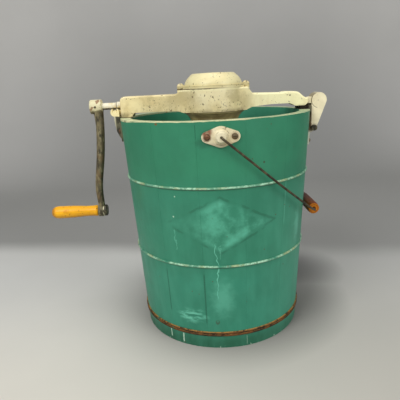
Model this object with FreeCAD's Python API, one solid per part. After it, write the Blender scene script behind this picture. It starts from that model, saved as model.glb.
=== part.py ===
import FreeCAD, Part
import math
import os

# Hand crank ice cream freezer: a staved wooden tub, a hinged gear frame with a crank, and
# the metal can and dasher that the gears turn. Millimetres, +Z up. The origin is the centre
# of the tub's foot on the floor. The crank is on the -X side, the frame's latch on the +X
# side, and the bail's ears face -Y and +Y. An azimuth is measured from -Y towards +X.

# ---- driving dimensions: tub ----
TUB_HEIGHT = 400.0
TUB_TOP_R = 173.5
TUB_FOOT_R = 150.7
STAVE_COUNT = 14
STAVE_THICKNESS = 18.0
STAVE_GAP = 0.05
STAVE_EDGE = 0.2
CROZE_DEPTH = 5.0
BOTTOM_Z = 26.0
BOTTOM_THICKNESS = 11.0
BOTTOM_BOARDS = 3
BOTTOM_EDGE_CLEARANCE = 0.4
BOARD_GAP = 0.3
DRAIN_R = 8.0
DRAIN_DROP = 90.0
DRAIN_STAVE_COUNT = 3

# ---- driving dimensions: hoops ----
UPPER_HOOP_DROP = 105.0
MIDDLE_HOOP_DROP = 240.4
BOTTOM_HOOP_Z = 28.6
BOTTOM_HOOP_PITCH = 4.4
HOOP_WIRE_R = 2.2
HOOP_STANDOFF = 0.3

# ---- driving dimensions: fasteners ----
SCREW_HEAD_R = 4.9
SCREW_HEAD_HEIGHT = 3.0
SCREW_SHANK_R = 2.4
SCREW_LENGTH = 14.0
SCREW_SLOT = 1.2

# ---- driving dimensions: bail and its ears ----
BAIL_AXIS_DROP = 24.0
BAIL_EAR_R = 16.0
BAIL_EAR_TIP_R = 8.4
BAIL_SCREW_X = 21.0
BAIL_EAR_THICKNESS = 3.2
BAIL_HUB_FOOT_R = 13.0
BAIL_HUB_TIP_R = 7.0
BAIL_HUB_REACH = 12.2
BAIL_WIRE_R = 1.9
BAIL_HOLE_CLEARANCE = 0.35
BAIL_LEG_STANDOFF = 2.2
BAIL_LENGTH = 239.05
BAIL_REST_GAP = 4.4
# The leg's corners: distance short of the bail's end, distance in from the hubs' faces.
BAIL_KNEE = (105.9, 30.0)
BAIL_KNEE_R = 120.0
BAIL_SHOULDER = (28.9, 84.0)
BAIL_SHOULDER_R = 60.0
BAIL_TOP_HALF_WIDTH = 56.0
BAIL_TOP_R = 30.0
BAIL_EYE_GAP = 2.0
BAIL_GRIP_LENGTH = 90.0
BAIL_GRIP_R = 11.0
BAIL_GRIP_END_R = 10.2
BAIL_GRIP_ROUND = 1.6
BAIL_GRIP_TAPER = 10.0

# ---- driving dimensions: gear frame ----
SHAFT_RISE = 21.5
SHAFT_R = 6.2
RUNNING_CLEARANCE = 0.06
LOOSE_CLEARANCE = 0.3
SEAT_GAP = 0.3
FRAME_LEFT_INSET = 2.5
FRAME_RIGHT_INSET = 2.0
FRAME_HALF_WIDTH = 19.0
FRAME_WALL = 5.0
FRAME_TOP_RISE = 37.5
FRAME_BOTTOM_RISE = 8.0
FRAME_CORNER_R = 8.0
FRAME_FOOT_HEEL = 1.0
FRAME_FOOT_LENGTH = 20.0
FRAME_FOOT_SLOPE = 4.0
FLARE_START_X = 104.0
FLARE_SAG = (3.0, 4.0)
DRUM_JOIN_ANGLE = 41.0
DRUM_R = 57.0
DRUM_WEB = 9.0
DRUM_WALL = 4.0
DRUM_BOTTOM_RISE = 4.5
DRUM_JOIN_SLOPE = 10.0
COVER_SEAM_RISE = 45.0
POST_X = 60.0
POST_R = 6.5
POST_DEPTH = 12.0
BUSH_STANDOUT = 9.0
BUSH_WALL = 1.3
END_WALL = 8.0
CHANNEL_RIGHT_INSET = 33.5
CHANNEL_ROOF = 7.0
SHOULDER_TOP = 3.0
SHOULDER_FOOT = 12.0
RIGHT_BEAM_TOP_RISE = 33.0
SLEEVE_BORE_R = 12.0
SLEEVE_R = 16.0
SLEEVE_BOTTOM_DROP = 12.0
SPOKE_WIDTH = 8.0
SPOKE_HEIGHT = 18.0
SPOKE_ANGLES = (0.0, 115.0, -115.0)
INNER_BEARING_LEFT_X = -30.0
INNER_BEARING_R = 10.0
PINION_POCKET_R = 20.5
PINION_POCKET_LEFT_X = -53.4
TONGUE_TOP_RISE = 20.0
TONGUE_SEAT_RISE = 6.8
BEAM_EDGE_R = 3.0
# Corners of the frame's side view near the latch: distance in from the tub's edge, rise above
# its rim, rounding.
RIGHT_BEAM_UNDERSIDE = ((69.5, 11.8, 20.0), (35.5, 11.8, 8.0))
TONGUE_UNDERSIDE = ((25.5, TONGUE_SEAT_RISE, 5.0), (7.5, TONGUE_SEAT_RISE, 4.0))
HUMP = ((9.0, 21.5, 12.0), (21.0, 32.0, 12.0), (42.5, 32.9, 20.0), (49.5, 31.4, 20.0))

# ---- driving dimensions: gear cover ----
COVER_R = 57.0
COVER_WALL = 3.5
COVER_FLANGE = 3.5
COVER_LUG_THICKNESS = 5.0
COVER_LUG_STEP = 2.0
COVER_LUG_ROOT = 12.0
COVER_LUG_FLARE = 3.0
COVER_COLLAR_GAP = 5.0
# The dome's profile above the seam: radius, rise, rounding.
DOME = (
    (53.2, 0.0, 0.0),
    (52.8, 9.0, 12.0),
    (48.6, 17.2, 22.0),
    (38.6, 26.4, 7.0),
    (0.0, 27.6, 0.0),
)
COVER_COLLAR_R = 18.0
COVER_SCREW_HEAD_R = 6.4
COVER_SCREW_HEAD_HEIGHT = 4.0

# ---- driving dimensions: hinge at the crank side ----
HINGE_REACH = 9.0
HINGE_RISE = 10.6
HINGE_BAR_R = 3.5
HINGE_CHEEK_R = 7.8
HINGE_MOUTH = 8.4
HINGE_NECK = 2.5
HINGE_CHEEK_INNER_Y = 9.0
HINGE_CHEEK_OUTER_Y = 15.0
HINGE_PLATE_HALF_WIDTH = 27.0
HINGE_PLATE_THICKNESS = 3.0
HINGE_PLATE_BOTTOM_DROP = 41.5
HINGE_PLATE_TOP_DROP = 8.0
HINGE_SCREW_DROP = 23.0
HINGE_SCREW_Y = 20.6
# Corners of the block below the cheeks: x from the hinge's axis, drop below the rim, rounding.
HINGE_BLOCK = (
    (-1.5, 9.0, 4.0),
    (1.2, 24.6, 12.0),
    (5.8, 34.3, 10.0),
    (10.5, 41.5, 0.0),
    (16.0, 41.5, 0.0),
    (16.0, 12.0, 0.0),
)
HOOK_HALF_WIDTH = 7.5
HOOK_REACH = 7.8
HOOK_TIP_RISE = 14.6
HOOK_BOTTOM_RISE = 3.4
HOOK_ROOT = 4.0
HOOK_TOE = 4.0
HOOK_ROUND = 3.0
HOOK_TIP_ROUND = 1.2

# ---- driving dimensions: latch side ----
LATCH_PIVOT_REACH = 10.1
LATCH_PIVOT_DROP = 35.0
LATCH_HEAD_REACH = 19.1
LATCH_HEAD_RISE = 14.8
LATCH_HEAD_R = 13.7
LATCH_TAIL_R = 4.5
LATCH_HALF_WIDTH = 14.0
LATCH_CHEEK = 3.6
LATCH_RIM = 4.0
LATCH_NOSE_GAP = 0.4
LATCH_NOSE_STEP = 1.6
LATCH_NOSE_BOTTOM_RISE = 10.0
# The nose's upper corner: distance from the nose's face, rise above the rim, rounding.
LATCH_NOSE_SHOULDER = (7.0, 20.8, 3.0)
LATCH_TAIL_WALL = 2.2
NIB_RISE = 16.4
NIB_SLOPE = 20.0
NIB_GAP = 0.4
LIP_LENGTH = 6.5
LIP_BOTTOM_RISE = 11.4
LATCH_PIN_R = 2.6
LATCH_PIN_HEAD_R = 5.4
LATCH_PIN_HEAD = 4.5
LATCH_EAR_HALF_WIDTH = 26.0
LATCH_EAR_THICKNESS = 4.0
LATCH_EAR_BOTTOM_DROP = 64.0
LATCH_EAR_SCREW_Y = 19.0
LATCH_EAR_SCREW_DROPS = (57.0, 28.0)
PIVOT_LUG_ROOT = 8.0
LEDGE_INSET = 17.5
LEDGE_HALF_WIDTH = 20.0
LATCH_SLOT_CLEARANCE = 1.0
LUG_INSET = 0.5
LUG_REACH = 7.5

# ---- driving dimensions: crank ----
CRANK_THROW = 199.2
CRANK_HUB_GAP = 36.0
CRANK_HUB_LENGTH = 21.5
CRANK_HUB_R = 13.0
CRANK_BOSS_OFFSET = 18.0
CRANK_BOSS_LENGTH = 9.6
CRANK_BOSS_R = 12.0
CRANK_HUB_ROUND = 1.5
CRANK_BOSS_ROUND = 1.0
CRANK_PIN_R = 2.0
# The arm's sections: x from the hub's inner face, drop below the shaft, thickness, width, lean
# in degrees.
ARM_SECTIONS = (
    (-8.6, 3.0, 20.4, 21.0, 0.0),
    (-7.7, 17.0, 17.2, 18.5, 1.0),
    (-7.5, 28.0, 16.0, 17.5, 1.5),
    (-9.1, 57.0, 15.4, 16.5, 4.0),
    (-14.3, 101.0, 15.0, 15.6, 9.0),
    (-20.4, 138.0, 14.4, 15.0, 7.5),
    (-22.3, 165.0, 13.6, 14.6, 1.0),
    (-21.6, 193.2, 12.6, 16.0, -4.0),
)
HANDLE_BOLT_R = 4.5
HANDLE_HEAD_R = 11.0
HANDLE_HEAD = 7.5
HANDLE_RIVET_R = 6.0
HANDLE_RIVET = 3.0
HANDLE_RIVET_SINK = 1.0
HANDLE_HEAD_ROUND = 2.0
GRIP_GAP = 1.0
GRIP_LENGTH = 89.4
GRIP_RIM_R = 9.4
# The grip's profile: distance from its crank end, radius.
GRIP_PROFILE = ((2.5, 10.9), (21.4, 10.1), (45.4, 11.5), (73.4, 12.0), (84.9, 10.6), (89.4, 7.6))

# ---- driving dimensions: bevel gears ----
GEAR_MODULE = 2.8
PINION_TEETH = 12
RING_TEETH = 36
TOOTH_FACE = 10.0
TOOTH_ADDENDUM = 2.1
TOOTH_DEDENDUM = 2.9
TOOTH_BACKLASH = 0.5
PRESSURE_ANGLE = 22.5
PINION_HUB_R = 9.5
PINION_HUB_RIGHT_X = -32.0
PINION_BACK = 1.3
PINION_PIN_R = 1.6
SKIRT_BOTTOM_DROP = 15.0
SKIRT_R = 34.0
POCKET_R = 24.0
# The lower gear's dished back: radius, drop below the shaft.
LOWER_DISH = ((43.5, 34.5), (47.0, 27.0), (51.5, 21.9), (55.5, 19.2), (55.5, 17.8), (52.0, 17.8))
UPPER_BACK_R = 47.5
HUB_BOTTOM_DROP = 7.0
RETAINER_R = 21.0
RETAINER_THICKNESS = 4.0
UPPER_HUB_R = 13.0
UPPER_HUB_HEIGHT = 11.0
STEM_CLEARANCE = 2.0
RING_RIM = 3.0
WEB_STEP = 2.0
UPPER_BOSS = 1.5
UPPER_BOSS_RIM = 4.0
RING_CURVE = 0.0
PINION_CURVE = 0.045

# ---- driving dimensions: can, lid and dasher ----
CAN_R = 95.0
CAN_SHEET = 1.4
CAN_FOOT_GAP = 9.0
CAN_FLOOR_GAP = 13.0
CAN_FLOOR = 2.0
CAN_TOP_DROP = 32.0
CAN_BEAD_DROP = 18.0
CAN_BEAD = 1.6
CAN_BEAD_HEIGHT = 4.0
PIVOT_PLATE_R = 22.0
PIVOT_PLATE = 3.0
PIVOT_PIN_R = 5.0
PIVOT_PIN_HEIGHT = 8.0
PIVOT_BOSS_R = 11.0
LID_THICKNESS = 2.0
LID_SKIRT = 14.0
LID_HOLE_R = 13.0
LID_RIM_INSET = 6.0
DRIVER_INNER_R = 23.5
DRIVER_R = 32.0
DRIVER_FLANGE_HEIGHT = 12.5
DRIVER_LUG_HEIGHT = 21.0
DRIVER_LUGS = 4
DRIVER_LUG_WIDTH = 10.0
DRIVER_LUG_CLEARANCE = 2.5
DRIVER_FOOT = 3.0
DRIVER_FOOT_WIDTH = 10.0
DRIVER_FIRST_LUG = 45.0
STEM_R = 6.0
STEM_SQUARE = 9.0
STEM_SQUARE_LENGTH = 14.5
STEM_TOP_GAP = 0.5
DASHER_TOP_GAP = 16.0
DASHER_BOTTOM_GAP = 10.0
DASHER_HUB_R = 13.0
DASHER_HUB = 14.0
DASHER_BAR_INNER_R = 68.0
DASHER_BAR_R = 77.0
DASHER_BAR_WIDTH = 12.0
DASHER_CROSS = 8.0
SCRAPER_DEPTH = 14.0
SCRAPER_WIDTH = 22.0
SCRAPER_WALL_GAP = 1.2
SCRAPER_PIN_R = 2.0
SCRAPER_PINS = 3
SCRAPER_PIN_INSET = 30.0
SCRAPER_PIN_BITE = 8.0
BEATER_POST_R = 6.0
BEATER_POST_DROP = 50.0
BEATER_FINGER_R = 3.5
BEATER_REACH = 60.0
BEATER_FINGERS = 5
BEATER_SQUARE = 8.0
BEATER_SOCKET = 6.0
BEATER_FINGER_INSET = (24.0, 12.0)

# ---- places that follow: heights ----
BOTTOM_TOP_Z = BOTTOM_Z + BOTTOM_THICKNESS
DRAIN_Z = TUB_HEIGHT - DRAIN_DROP
UPPER_HOOP_Z = TUB_HEIGHT - UPPER_HOOP_DROP
MIDDLE_HOOP_Z = TUB_HEIGHT - MIDDLE_HOOP_DROP
BAIL_AXIS_Z = TUB_HEIGHT - BAIL_AXIS_DROP
SHAFT_Z = TUB_HEIGHT + SHAFT_RISE
FRAME_TOP_Z = TUB_HEIGHT + FRAME_TOP_RISE
FRAME_BOTTOM_Z = TUB_HEIGHT + FRAME_BOTTOM_RISE
DRUM_BOTTOM_Z = TUB_HEIGHT + DRUM_BOTTOM_RISE
COVER_SEAM_Z = TUB_HEIGHT + COVER_SEAM_RISE
COVER_TOP_Z = COVER_SEAM_Z + DOME[-1][1]
COVER_LUG_Z = COVER_SEAM_Z + COVER_LUG_STEP
RIGHT_BEAM_TOP_Z = TUB_HEIGHT + RIGHT_BEAM_TOP_RISE
SLEEVE_BOTTOM_Z = TUB_HEIGHT - SLEEVE_BOTTOM_DROP
TONGUE_TOP_Z = TUB_HEIGHT + TONGUE_TOP_RISE
TONGUE_SEAT_Z = TUB_HEIGHT + TONGUE_SEAT_RISE
HINGE_Z = TUB_HEIGHT + HINGE_RISE
HINGE_PLATE_TOP_Z = TUB_HEIGHT - HINGE_PLATE_TOP_DROP
HINGE_SCREW_Z = TUB_HEIGHT - HINGE_SCREW_DROP
HOOK_TIP_Z = TUB_HEIGHT + HOOK_TIP_RISE
HOOK_BOTTOM_Z = TUB_HEIGHT + HOOK_BOTTOM_RISE
LATCH_PIVOT_Z = TUB_HEIGHT - LATCH_PIVOT_DROP
LATCH_HEAD_Z = TUB_HEIGHT + LATCH_HEAD_RISE
LATCH_NOSE_BOTTOM_Z = TUB_HEIGHT + LATCH_NOSE_BOTTOM_RISE
NIB_Z = TUB_HEIGHT + NIB_RISE
LIP_BOTTOM_Z = TUB_HEIGHT + LIP_BOTTOM_RISE
SKIRT_BOTTOM_Z = TUB_HEIGHT - SKIRT_BOTTOM_DROP
HUB_BOTTOM_Z = TUB_HEIGHT - HUB_BOTTOM_DROP
UPPER_HUB_TOP_Z = COVER_SEAM_Z + UPPER_HUB_HEIGHT
CAN_FOOT_Z = BOTTOM_TOP_Z + CAN_FOOT_GAP
CAN_FLOOR_Z = BOTTOM_TOP_Z + CAN_FLOOR_GAP
CAN_TOP_Z = TUB_HEIGHT - CAN_TOP_DROP
CAN_BEAD_Z = CAN_TOP_Z - CAN_BEAD_DROP
LID_TOP_Z = CAN_TOP_Z + LID_THICKNESS
DRIVER_FLANGE_Z = LID_TOP_Z + DRIVER_FLANGE_HEIGHT
DRIVER_TOP_Z = LID_TOP_Z + DRIVER_LUG_HEIGHT
STEM_TOP_Z = COVER_SEAM_Z - STEM_TOP_GAP
STEM_SQUARE_BOTTOM_Z = STEM_TOP_Z - STEM_SQUARE_LENGTH
DASHER_TOP_Z = CAN_TOP_Z - DASHER_TOP_GAP
DASHER_BOTTOM_Z = CAN_FLOOR_Z + CAN_FLOOR + DASHER_BOTTOM_GAP
BEATER_POST_TOP_Z = CAN_TOP_Z - BEATER_POST_DROP

# ---- places that follow: distances from the tub's axis ----
BAIL_HUB_Y = TUB_TOP_R + BAIL_HUB_REACH
FRAME_LEFT_X = FRAME_LEFT_INSET - TUB_TOP_R
FRAME_RIGHT_X = TUB_TOP_R - FRAME_RIGHT_INSET
FRAME_FOOT_RIGHT_X = FRAME_LEFT_X + FRAME_FOOT_LENGTH
CHANNEL_RIGHT_X = TUB_TOP_R - CHANNEL_RIGHT_INSET
BUSH_LEFT_X = FRAME_LEFT_X - BUSH_STANDOUT
HINGE_X = -TUB_TOP_R - HINGE_REACH
HOOK_LEFT_X = HINGE_X - HOOK_REACH
LATCH_PIVOT_X = TUB_TOP_R + LATCH_PIVOT_REACH
LATCH_HEAD_X = TUB_TOP_R + LATCH_HEAD_REACH
LATCH_NOSE_X = FRAME_RIGHT_X + LATCH_NOSE_GAP
CRANK_HUB_RIGHT_X = FRAME_LEFT_X - CRANK_HUB_GAP
CRANK_HUB_LEFT_X = CRANK_HUB_RIGHT_X - CRANK_HUB_LENGTH
CRANK_BOSS_RIGHT_X = CRANK_HUB_RIGHT_X - CRANK_BOSS_OFFSET
CRANK_BOSS_LEFT_X = CRANK_BOSS_RIGHT_X - CRANK_BOSS_LENGTH

ORIGIN = FreeCAD.Vector(0, 0, 0)
X_AXIS = FreeCAD.Vector(1, 0, 0)
Y_AXIS = FreeCAD.Vector(0, 1, 0)
Z_AXIS = FreeCAD.Vector(0, 0, 1)


# ---- shape helpers ----
def vec(x, y, z):
    return FreeCAD.Vector(x, y, z)


def direction(azimuth):
    """The level direction of an azimuth, which runs from -Y towards +X."""
    a = math.radians(azimuth)
    return vec(math.sin(a), -math.cos(a), 0)


def upright(shape):
    """The same solid with its faces outwards."""
    if shape.Volume < 0:
        shape.reverse()
    return shape


def corner_arc(before, corner, after, radius):
    """The arc that rounds a corner, with its two ends."""
    back = (before - corner).normalize()
    ahead = (after - corner).normalize()
    half = back.getAngle(ahead) / 2
    reach = radius / math.tan(half)
    start = corner + back * reach
    end = corner + ahead * reach
    middle = (back + ahead).normalize()
    top = corner + middle * (radius / math.sin(half) - radius)
    return start, end, Part.Arc(start, top, end).toShape()


def rounded_wire(points, radii, closed=True):
    """A wire through 3-D points, each corner rounded by its own radius, or sharp for 0."""
    count = len(points)
    entries, exits, arcs = [], [], []
    for i, point in enumerate(points):
        inner = closed or 0 < i < count - 1
        if radii[i] > 0 and inner:
            start, end, arc = corner_arc(points[i - 1], point, points[(i + 1) % count], radii[i])
        else:
            start, end, arc = point, point, None
        entries.append(start)
        exits.append(end)
        arcs.append(arc)
    edges = []
    for i in range(count):
        if arcs[i]:
            edges.append(arcs[i])
        if i < count - 1 or closed:
            following = entries[(i + 1) % count]
            if exits[i].distanceToPoint(following) > 1e-6:
                edges.append(Part.makeLine(exits[i], following))
    return Part.Wire(edges)


def side_prism(corners, half_width, middle_y=0.0):
    """A prism along Y from (x, z, radius) corners of its side view."""
    points = [vec(x, middle_y - half_width, z) for x, z, _ in corners]
    face = Part.Face(rounded_wire(points, [r for _, _, r in corners]))
    return upright(face.extrude(vec(0, 2 * half_width, 0)))


def plan_prism(corners, bottom, top):
    """A prism along Z from (x, y, radius) corners of its plan."""
    points = [vec(x, y, bottom) for x, y, _ in corners]
    face = Part.Face(rounded_wire(points, [r for _, _, r in corners]))
    return upright(face.extrude(vec(0, 0, top - bottom)))


def turned(outline, angle=360.0, start=0.0):
    """A solid turned about Z from (radius, height) points."""
    points = [vec(r, 0, z) for r, z in outline]
    face = Part.Face(Part.makePolygon(points + points[:1]))
    solid = upright(face.revolve(ORIGIN, Z_AXIS, angle))
    solid.rotate(ORIGIN, Z_AXIS, start)
    return solid


def box(low, high):
    size = [b - a for a, b in zip(low, high)]
    return Part.makeBox(size[0], size[1], size[2], vec(*low))


def rod(start, end, radius):
    along = end - start
    return Part.makeCylinder(radius, along.Length, start, along)


def ring(inner, outer, bottom, top):
    return turned([(inner, bottom), (outer, bottom), (outer, top), (inner, top)])


def placed(shape, axis, point):
    """A shape made along +Z at the origin, turned to lie along axis from point."""
    copy = shape.copy()
    turn = FreeCAD.Rotation(Z_AXIS, axis)
    copy.Placement = FreeCAD.Placement(point, turn).multiply(copy.Placement)
    return copy


def tub_radius(z):
    return TUB_FOOT_R + (TUB_TOP_R - TUB_FOOT_R) * z / TUB_HEIGHT


def tub_skin(thickness):
    """The thin cone that lies on the tub's outside."""
    return turned(
        [
            (tub_radius(0), 0),
            (tub_radius(0) + thickness, 0),
            (TUB_TOP_R + thickness, TUB_HEIGHT),
            (TUB_TOP_R, TUB_HEIGHT),
        ]
    )


def tub_cone():
    """The tub's outside as one solid cone, for cutting what lies on it."""
    return turned([(0, 0), (TUB_FOOT_R, 0), (TUB_TOP_R, TUB_HEIGHT), (0, TUB_HEIGHT)])


# ---- fasteners ----
def slotted_head(radius, height):
    """A domed screw head that stands on z = 0, with a slot across it."""
    sphere_r = (radius * radius + height * height) / (2 * height)
    dome = Part.makeSphere(sphere_r, vec(0, 0, height - sphere_r))
    head = dome.common(Part.makeCylinder(radius, height))
    slot = box((-radius, -SCREW_SLOT / 2, height / 2), (radius, SCREW_SLOT / 2, height))
    return head.cut(slot)


def screw(seat, outward):
    """A wood screw with its head on seat and its shank running inwards."""
    shank = Part.makeCylinder(SCREW_SHANK_R, SCREW_LENGTH, vec(0, 0, -SCREW_LENGTH))
    solid = slotted_head(SCREW_HEAD_R, SCREW_HEAD_HEIGHT).fuse(shank)
    return placed(solid, outward, seat)


def screw_hole(seat, outward):
    """What a screw takes out of its plate and stave: the shank's hole and a flat for the head."""
    hole = Part.makeCylinder(SCREW_SHANK_R, SCREW_LENGTH + 1, vec(0, 0, -SCREW_LENGTH))
    flat = Part.makeCylinder(SCREW_HEAD_R + LOOSE_CLEARANCE, 2 * SCREW_HEAD_HEIGHT)
    return placed(hole.fuse(flat), outward, seat)


def ear_screw_seats(azimuth, plate, offsets):
    """Seats on a plate of the tub's wall, at (sideways, height) offsets from its middle."""
    out = direction(azimuth)
    across = direction(azimuth + 90)
    seats = []
    for sideways, z in offsets:
        radius = tub_radius(z) + plate
        depth = math.sqrt(radius * radius - sideways * sideways)
        seats.append((out * depth + across * sideways + vec(0, 0, z), out))
    return seats


def bail_screw_seats(azimuth):
    offsets = [(-BAIL_SCREW_X, BAIL_AXIS_Z), (BAIL_SCREW_X, BAIL_AXIS_Z)]
    return ear_screw_seats(azimuth, BAIL_EAR_THICKNESS, offsets)


def hinge_screw_seats():
    offsets = [(-HINGE_SCREW_Y, HINGE_SCREW_Z), (HINGE_SCREW_Y, HINGE_SCREW_Z)]
    return ear_screw_seats(-90, HINGE_PLATE_THICKNESS, offsets)


def latch_screw_seats():
    heights = [TUB_HEIGHT - drop for drop in LATCH_EAR_SCREW_DROPS]
    offsets = [(y, z) for z in heights for y in (-LATCH_EAR_SCREW_Y, LATCH_EAR_SCREW_Y)]
    return ear_screw_seats(90, LATCH_EAR_THICKNESS, offsets)


def all_screw_seats():
    return bail_screw_seats(0) + bail_screw_seats(180) + hinge_screw_seats() + latch_screw_seats()


# ---- tub ----
def stave(index, holes):
    """One tapered stave, with the croze that holds the bottom boards."""
    step = 360.0 / STAVE_COUNT
    inner_foot = TUB_FOOT_R - STAVE_THICKNESS
    slope = (TUB_TOP_R - TUB_FOOT_R) / TUB_HEIGHT
    croze_r = inner_foot + slope * BOTTOM_Z + CROZE_DEPTH
    outline = [
        (TUB_FOOT_R, 0),
        (TUB_TOP_R, TUB_HEIGHT),
        (TUB_TOP_R - STAVE_THICKNESS, TUB_HEIGHT),
        (inner_foot + slope * BOTTOM_TOP_Z, BOTTOM_TOP_Z),
        (croze_r, BOTTOM_TOP_Z),
        (croze_r, BOTTOM_Z),
        (inner_foot + slope * BOTTOM_Z, BOTTOM_Z),
        (inner_foot, 0),
    ]
    gap_angle = math.degrees(STAVE_GAP / TUB_TOP_R)
    middle = index * step - 90
    solid = turned(outline, step - gap_angle, middle - (step - gap_angle) / 2)
    long_edges = []
    for edge in solid.Edges:
        ends = [v.Point for v in edge.Vertexes]
        outside = all(abs(math.hypot(p.x, p.y) - tub_radius(p.z)) < 1e-3 for p in ends)
        if outside and edge.Length > TUB_HEIGHT / 2:
            long_edges.append(edge)
    solid = solid.makeChamfer(STAVE_EDGE, long_edges)
    for hole in holes:
        if hole.BoundBox.intersect(solid.BoundBox):
            solid = solid.cut(hole)
    return solid.Solids[0]


def drain_hole():
    out = direction(DRAIN_STAVE_COUNT * 360.0 / STAVE_COUNT)
    far = TUB_TOP_R + STAVE_THICKNESS
    near = TUB_FOOT_R - STAVE_THICKNESS - CROZE_DEPTH
    return rod(out * near + vec(0, 0, DRAIN_Z), out * far + vec(0, 0, DRAIN_Z), DRAIN_R)


def tub_bottom():
    """The boards that close the tub, edge to edge in the croze."""
    slope = (TUB_TOP_R - TUB_FOOT_R) / TUB_HEIGHT
    croze_r = TUB_FOOT_R - STAVE_THICKNESS + slope * BOTTOM_Z + CROZE_DEPTH
    radius = croze_r - BOTTOM_EDGE_CLEARANCE
    disc = Part.makeCylinder(radius, BOTTOM_THICKNESS, vec(0, 0, BOTTOM_Z))
    width = 2 * radius / BOTTOM_BOARDS
    boards = []
    for i in range(BOTTOM_BOARDS):
        low = -radius + i * width + BOARD_GAP / 2
        high = low + width - BOARD_GAP
        boards.append(disc.common(box((low, -radius, BOTTOM_Z), (high, radius, BOTTOM_TOP_Z))))
    return boards


def hoop(z):
    """A hoop wire with a flat that lies on the staves."""
    slope = math.atan2(TUB_TOP_R - TUB_FOOT_R, TUB_HEIGHT)
    out = vec(math.cos(slope), 0, -math.sin(slope))
    along = vec(math.sin(slope), 0, math.cos(slope))
    half = math.sqrt(HOOP_WIRE_R**2 - HOOP_STANDOFF**2)
    foot = vec(tub_radius(z), 0, z)
    low = foot - along * half
    high = foot + along * half
    top = foot + out * (HOOP_STANDOFF + HOOP_WIRE_R)
    wire = Part.Wire([Part.Arc(low, top, high).toShape(), Part.makeLine(high, low)])
    return upright(Part.Face(wire).revolve(ORIGIN, Z_AXIS, 360))


def bottom_hoop():
    half = BOTTOM_HOOP_PITCH / 2
    return [hoop(BOTTOM_HOOP_Z - half), hoop(BOTTOM_HOOP_Z + half)]


def bail_ear(azimuth):
    """A lozenge plate on the tub, with a conical hub bored for the bail's eye."""
    spread = math.acos((BAIL_EAR_R - BAIL_EAR_TIP_R) / BAIL_SCREW_X)
    big = (BAIL_EAR_R * math.cos(spread), BAIL_EAR_R * math.sin(spread))
    small = (BAIL_SCREW_X + BAIL_EAR_TIP_R * math.cos(spread), BAIL_EAR_TIP_R * math.sin(spread))
    tip = BAIL_SCREW_X + BAIL_EAR_TIP_R

    def at(x, z):
        return vec(x, 0, BAIL_AXIS_Z + z)

    edges = [
        Part.Arc(at(-big[0], big[1]), at(0, BAIL_EAR_R), at(big[0], big[1])).toShape(),
        Part.makeLine(at(big[0], big[1]), at(small[0], small[1])),
        Part.Arc(at(small[0], small[1]), at(tip, 0), at(small[0], -small[1])).toShape(),
        Part.makeLine(at(small[0], -small[1]), at(big[0], -big[1])),
        Part.Arc(at(big[0], -big[1]), at(0, -BAIL_EAR_R), at(-big[0], -big[1])).toShape(),
        Part.makeLine(at(-big[0], -big[1]), at(-small[0], -small[1])),
        Part.Arc(at(-small[0], -small[1]), at(-tip, 0), at(-small[0], small[1])).toShape(),
        Part.makeLine(at(-small[0], small[1]), at(-big[0], big[1])),
    ]
    prism = upright(Part.Face(Part.Wire(edges)).extrude(vec(0, -2 * TUB_TOP_R, 0)))
    plate = prism.common(tub_skin(BAIL_EAR_THICKNESS))
    skin_y = tub_radius(BAIL_AXIS_Z)
    hub = Part.makeCone(
        BAIL_HUB_FOOT_R,
        BAIL_HUB_TIP_R,
        BAIL_HUB_Y - skin_y,
        vec(0, -skin_y, BAIL_AXIS_Z),
        -Y_AXIS,
    )
    ear = plate.fuse(hub.cut(tub_cone())).removeSplitter()
    eye_r = BAIL_WIRE_R + BAIL_HOLE_CLEARANCE
    ear = ear.cut(rod(vec(0, -skin_y, BAIL_AXIS_Z), vec(0, -BAIL_HUB_Y - 1, BAIL_AXIS_Z), eye_r))
    for seat, out in bail_screw_seats(0):
        ear = ear.cut(screw_hole(seat, out))
    ear = ear.Solids[0]
    ear.rotate(ORIGIN, Z_AXIS, azimuth)
    return ear


def hinge_ear():
    """The crank-side ear: a plate, two forked cheeks and the bar that the frame hooks under."""
    plate = tub_skin(HINGE_PLATE_THICKNESS).common(
        box(
            (-2 * TUB_TOP_R, -HINGE_PLATE_HALF_WIDTH, TUB_HEIGHT - HINGE_PLATE_BOTTOM_DROP),
            (0, HINGE_PLATE_HALF_WIDTH, HINGE_PLATE_TOP_Z),
        )
    )
    inside_x = HINGE_X + HINGE_CHEEK_R
    outline = [(inside_x, HINGE_Z, 0), (HINGE_X - HINGE_NECK, HINGE_Z, 0)]
    outline += [(HINGE_X + x, TUB_HEIGHT - drop, r) for x, drop, r in HINGE_BLOCK]
    outline.append((inside_x, TUB_HEIGHT, 0))
    pivot = vec(HINGE_X, 0, HINGE_Z)
    reach = Y_AXIS * HINGE_CHEEK_OUTER_Y
    mouth = box(
        (HINGE_X - HINGE_MOUTH / 2, -HINGE_CHEEK_OUTER_Y, HINGE_Z),
        (HINGE_X + HINGE_MOUTH / 2, HINGE_CHEEK_OUTER_Y, HINGE_Z + HINGE_CHEEK_R),
    )
    slot = box(
        (2 * HINGE_X, -HINGE_CHEEK_INNER_Y, HINGE_PLATE_TOP_Z),
        (0, HINGE_CHEEK_INNER_Y, 2 * TUB_HEIGHT),
    )
    cheeks = side_prism(outline, HINGE_CHEEK_OUTER_Y).fuse(
        rod(pivot - reach, pivot + reach, HINGE_CHEEK_R)
    )
    bar = rod(pivot - reach, pivot + reach, HINGE_BAR_R)
    ear = cheeks.cut([mouth, slot, tub_cone()]).fuse([plate, bar]).removeSplitter()
    for seat, out in hinge_screw_seats():
        ear = ear.cut(screw_hole(seat, out))
    return ear.Solids[0]


def lug_half_width():
    """Half the width of what stands between the latch's cheeks."""
    return LATCH_HALF_WIDTH - LATCH_CHEEK - 0.8


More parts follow.
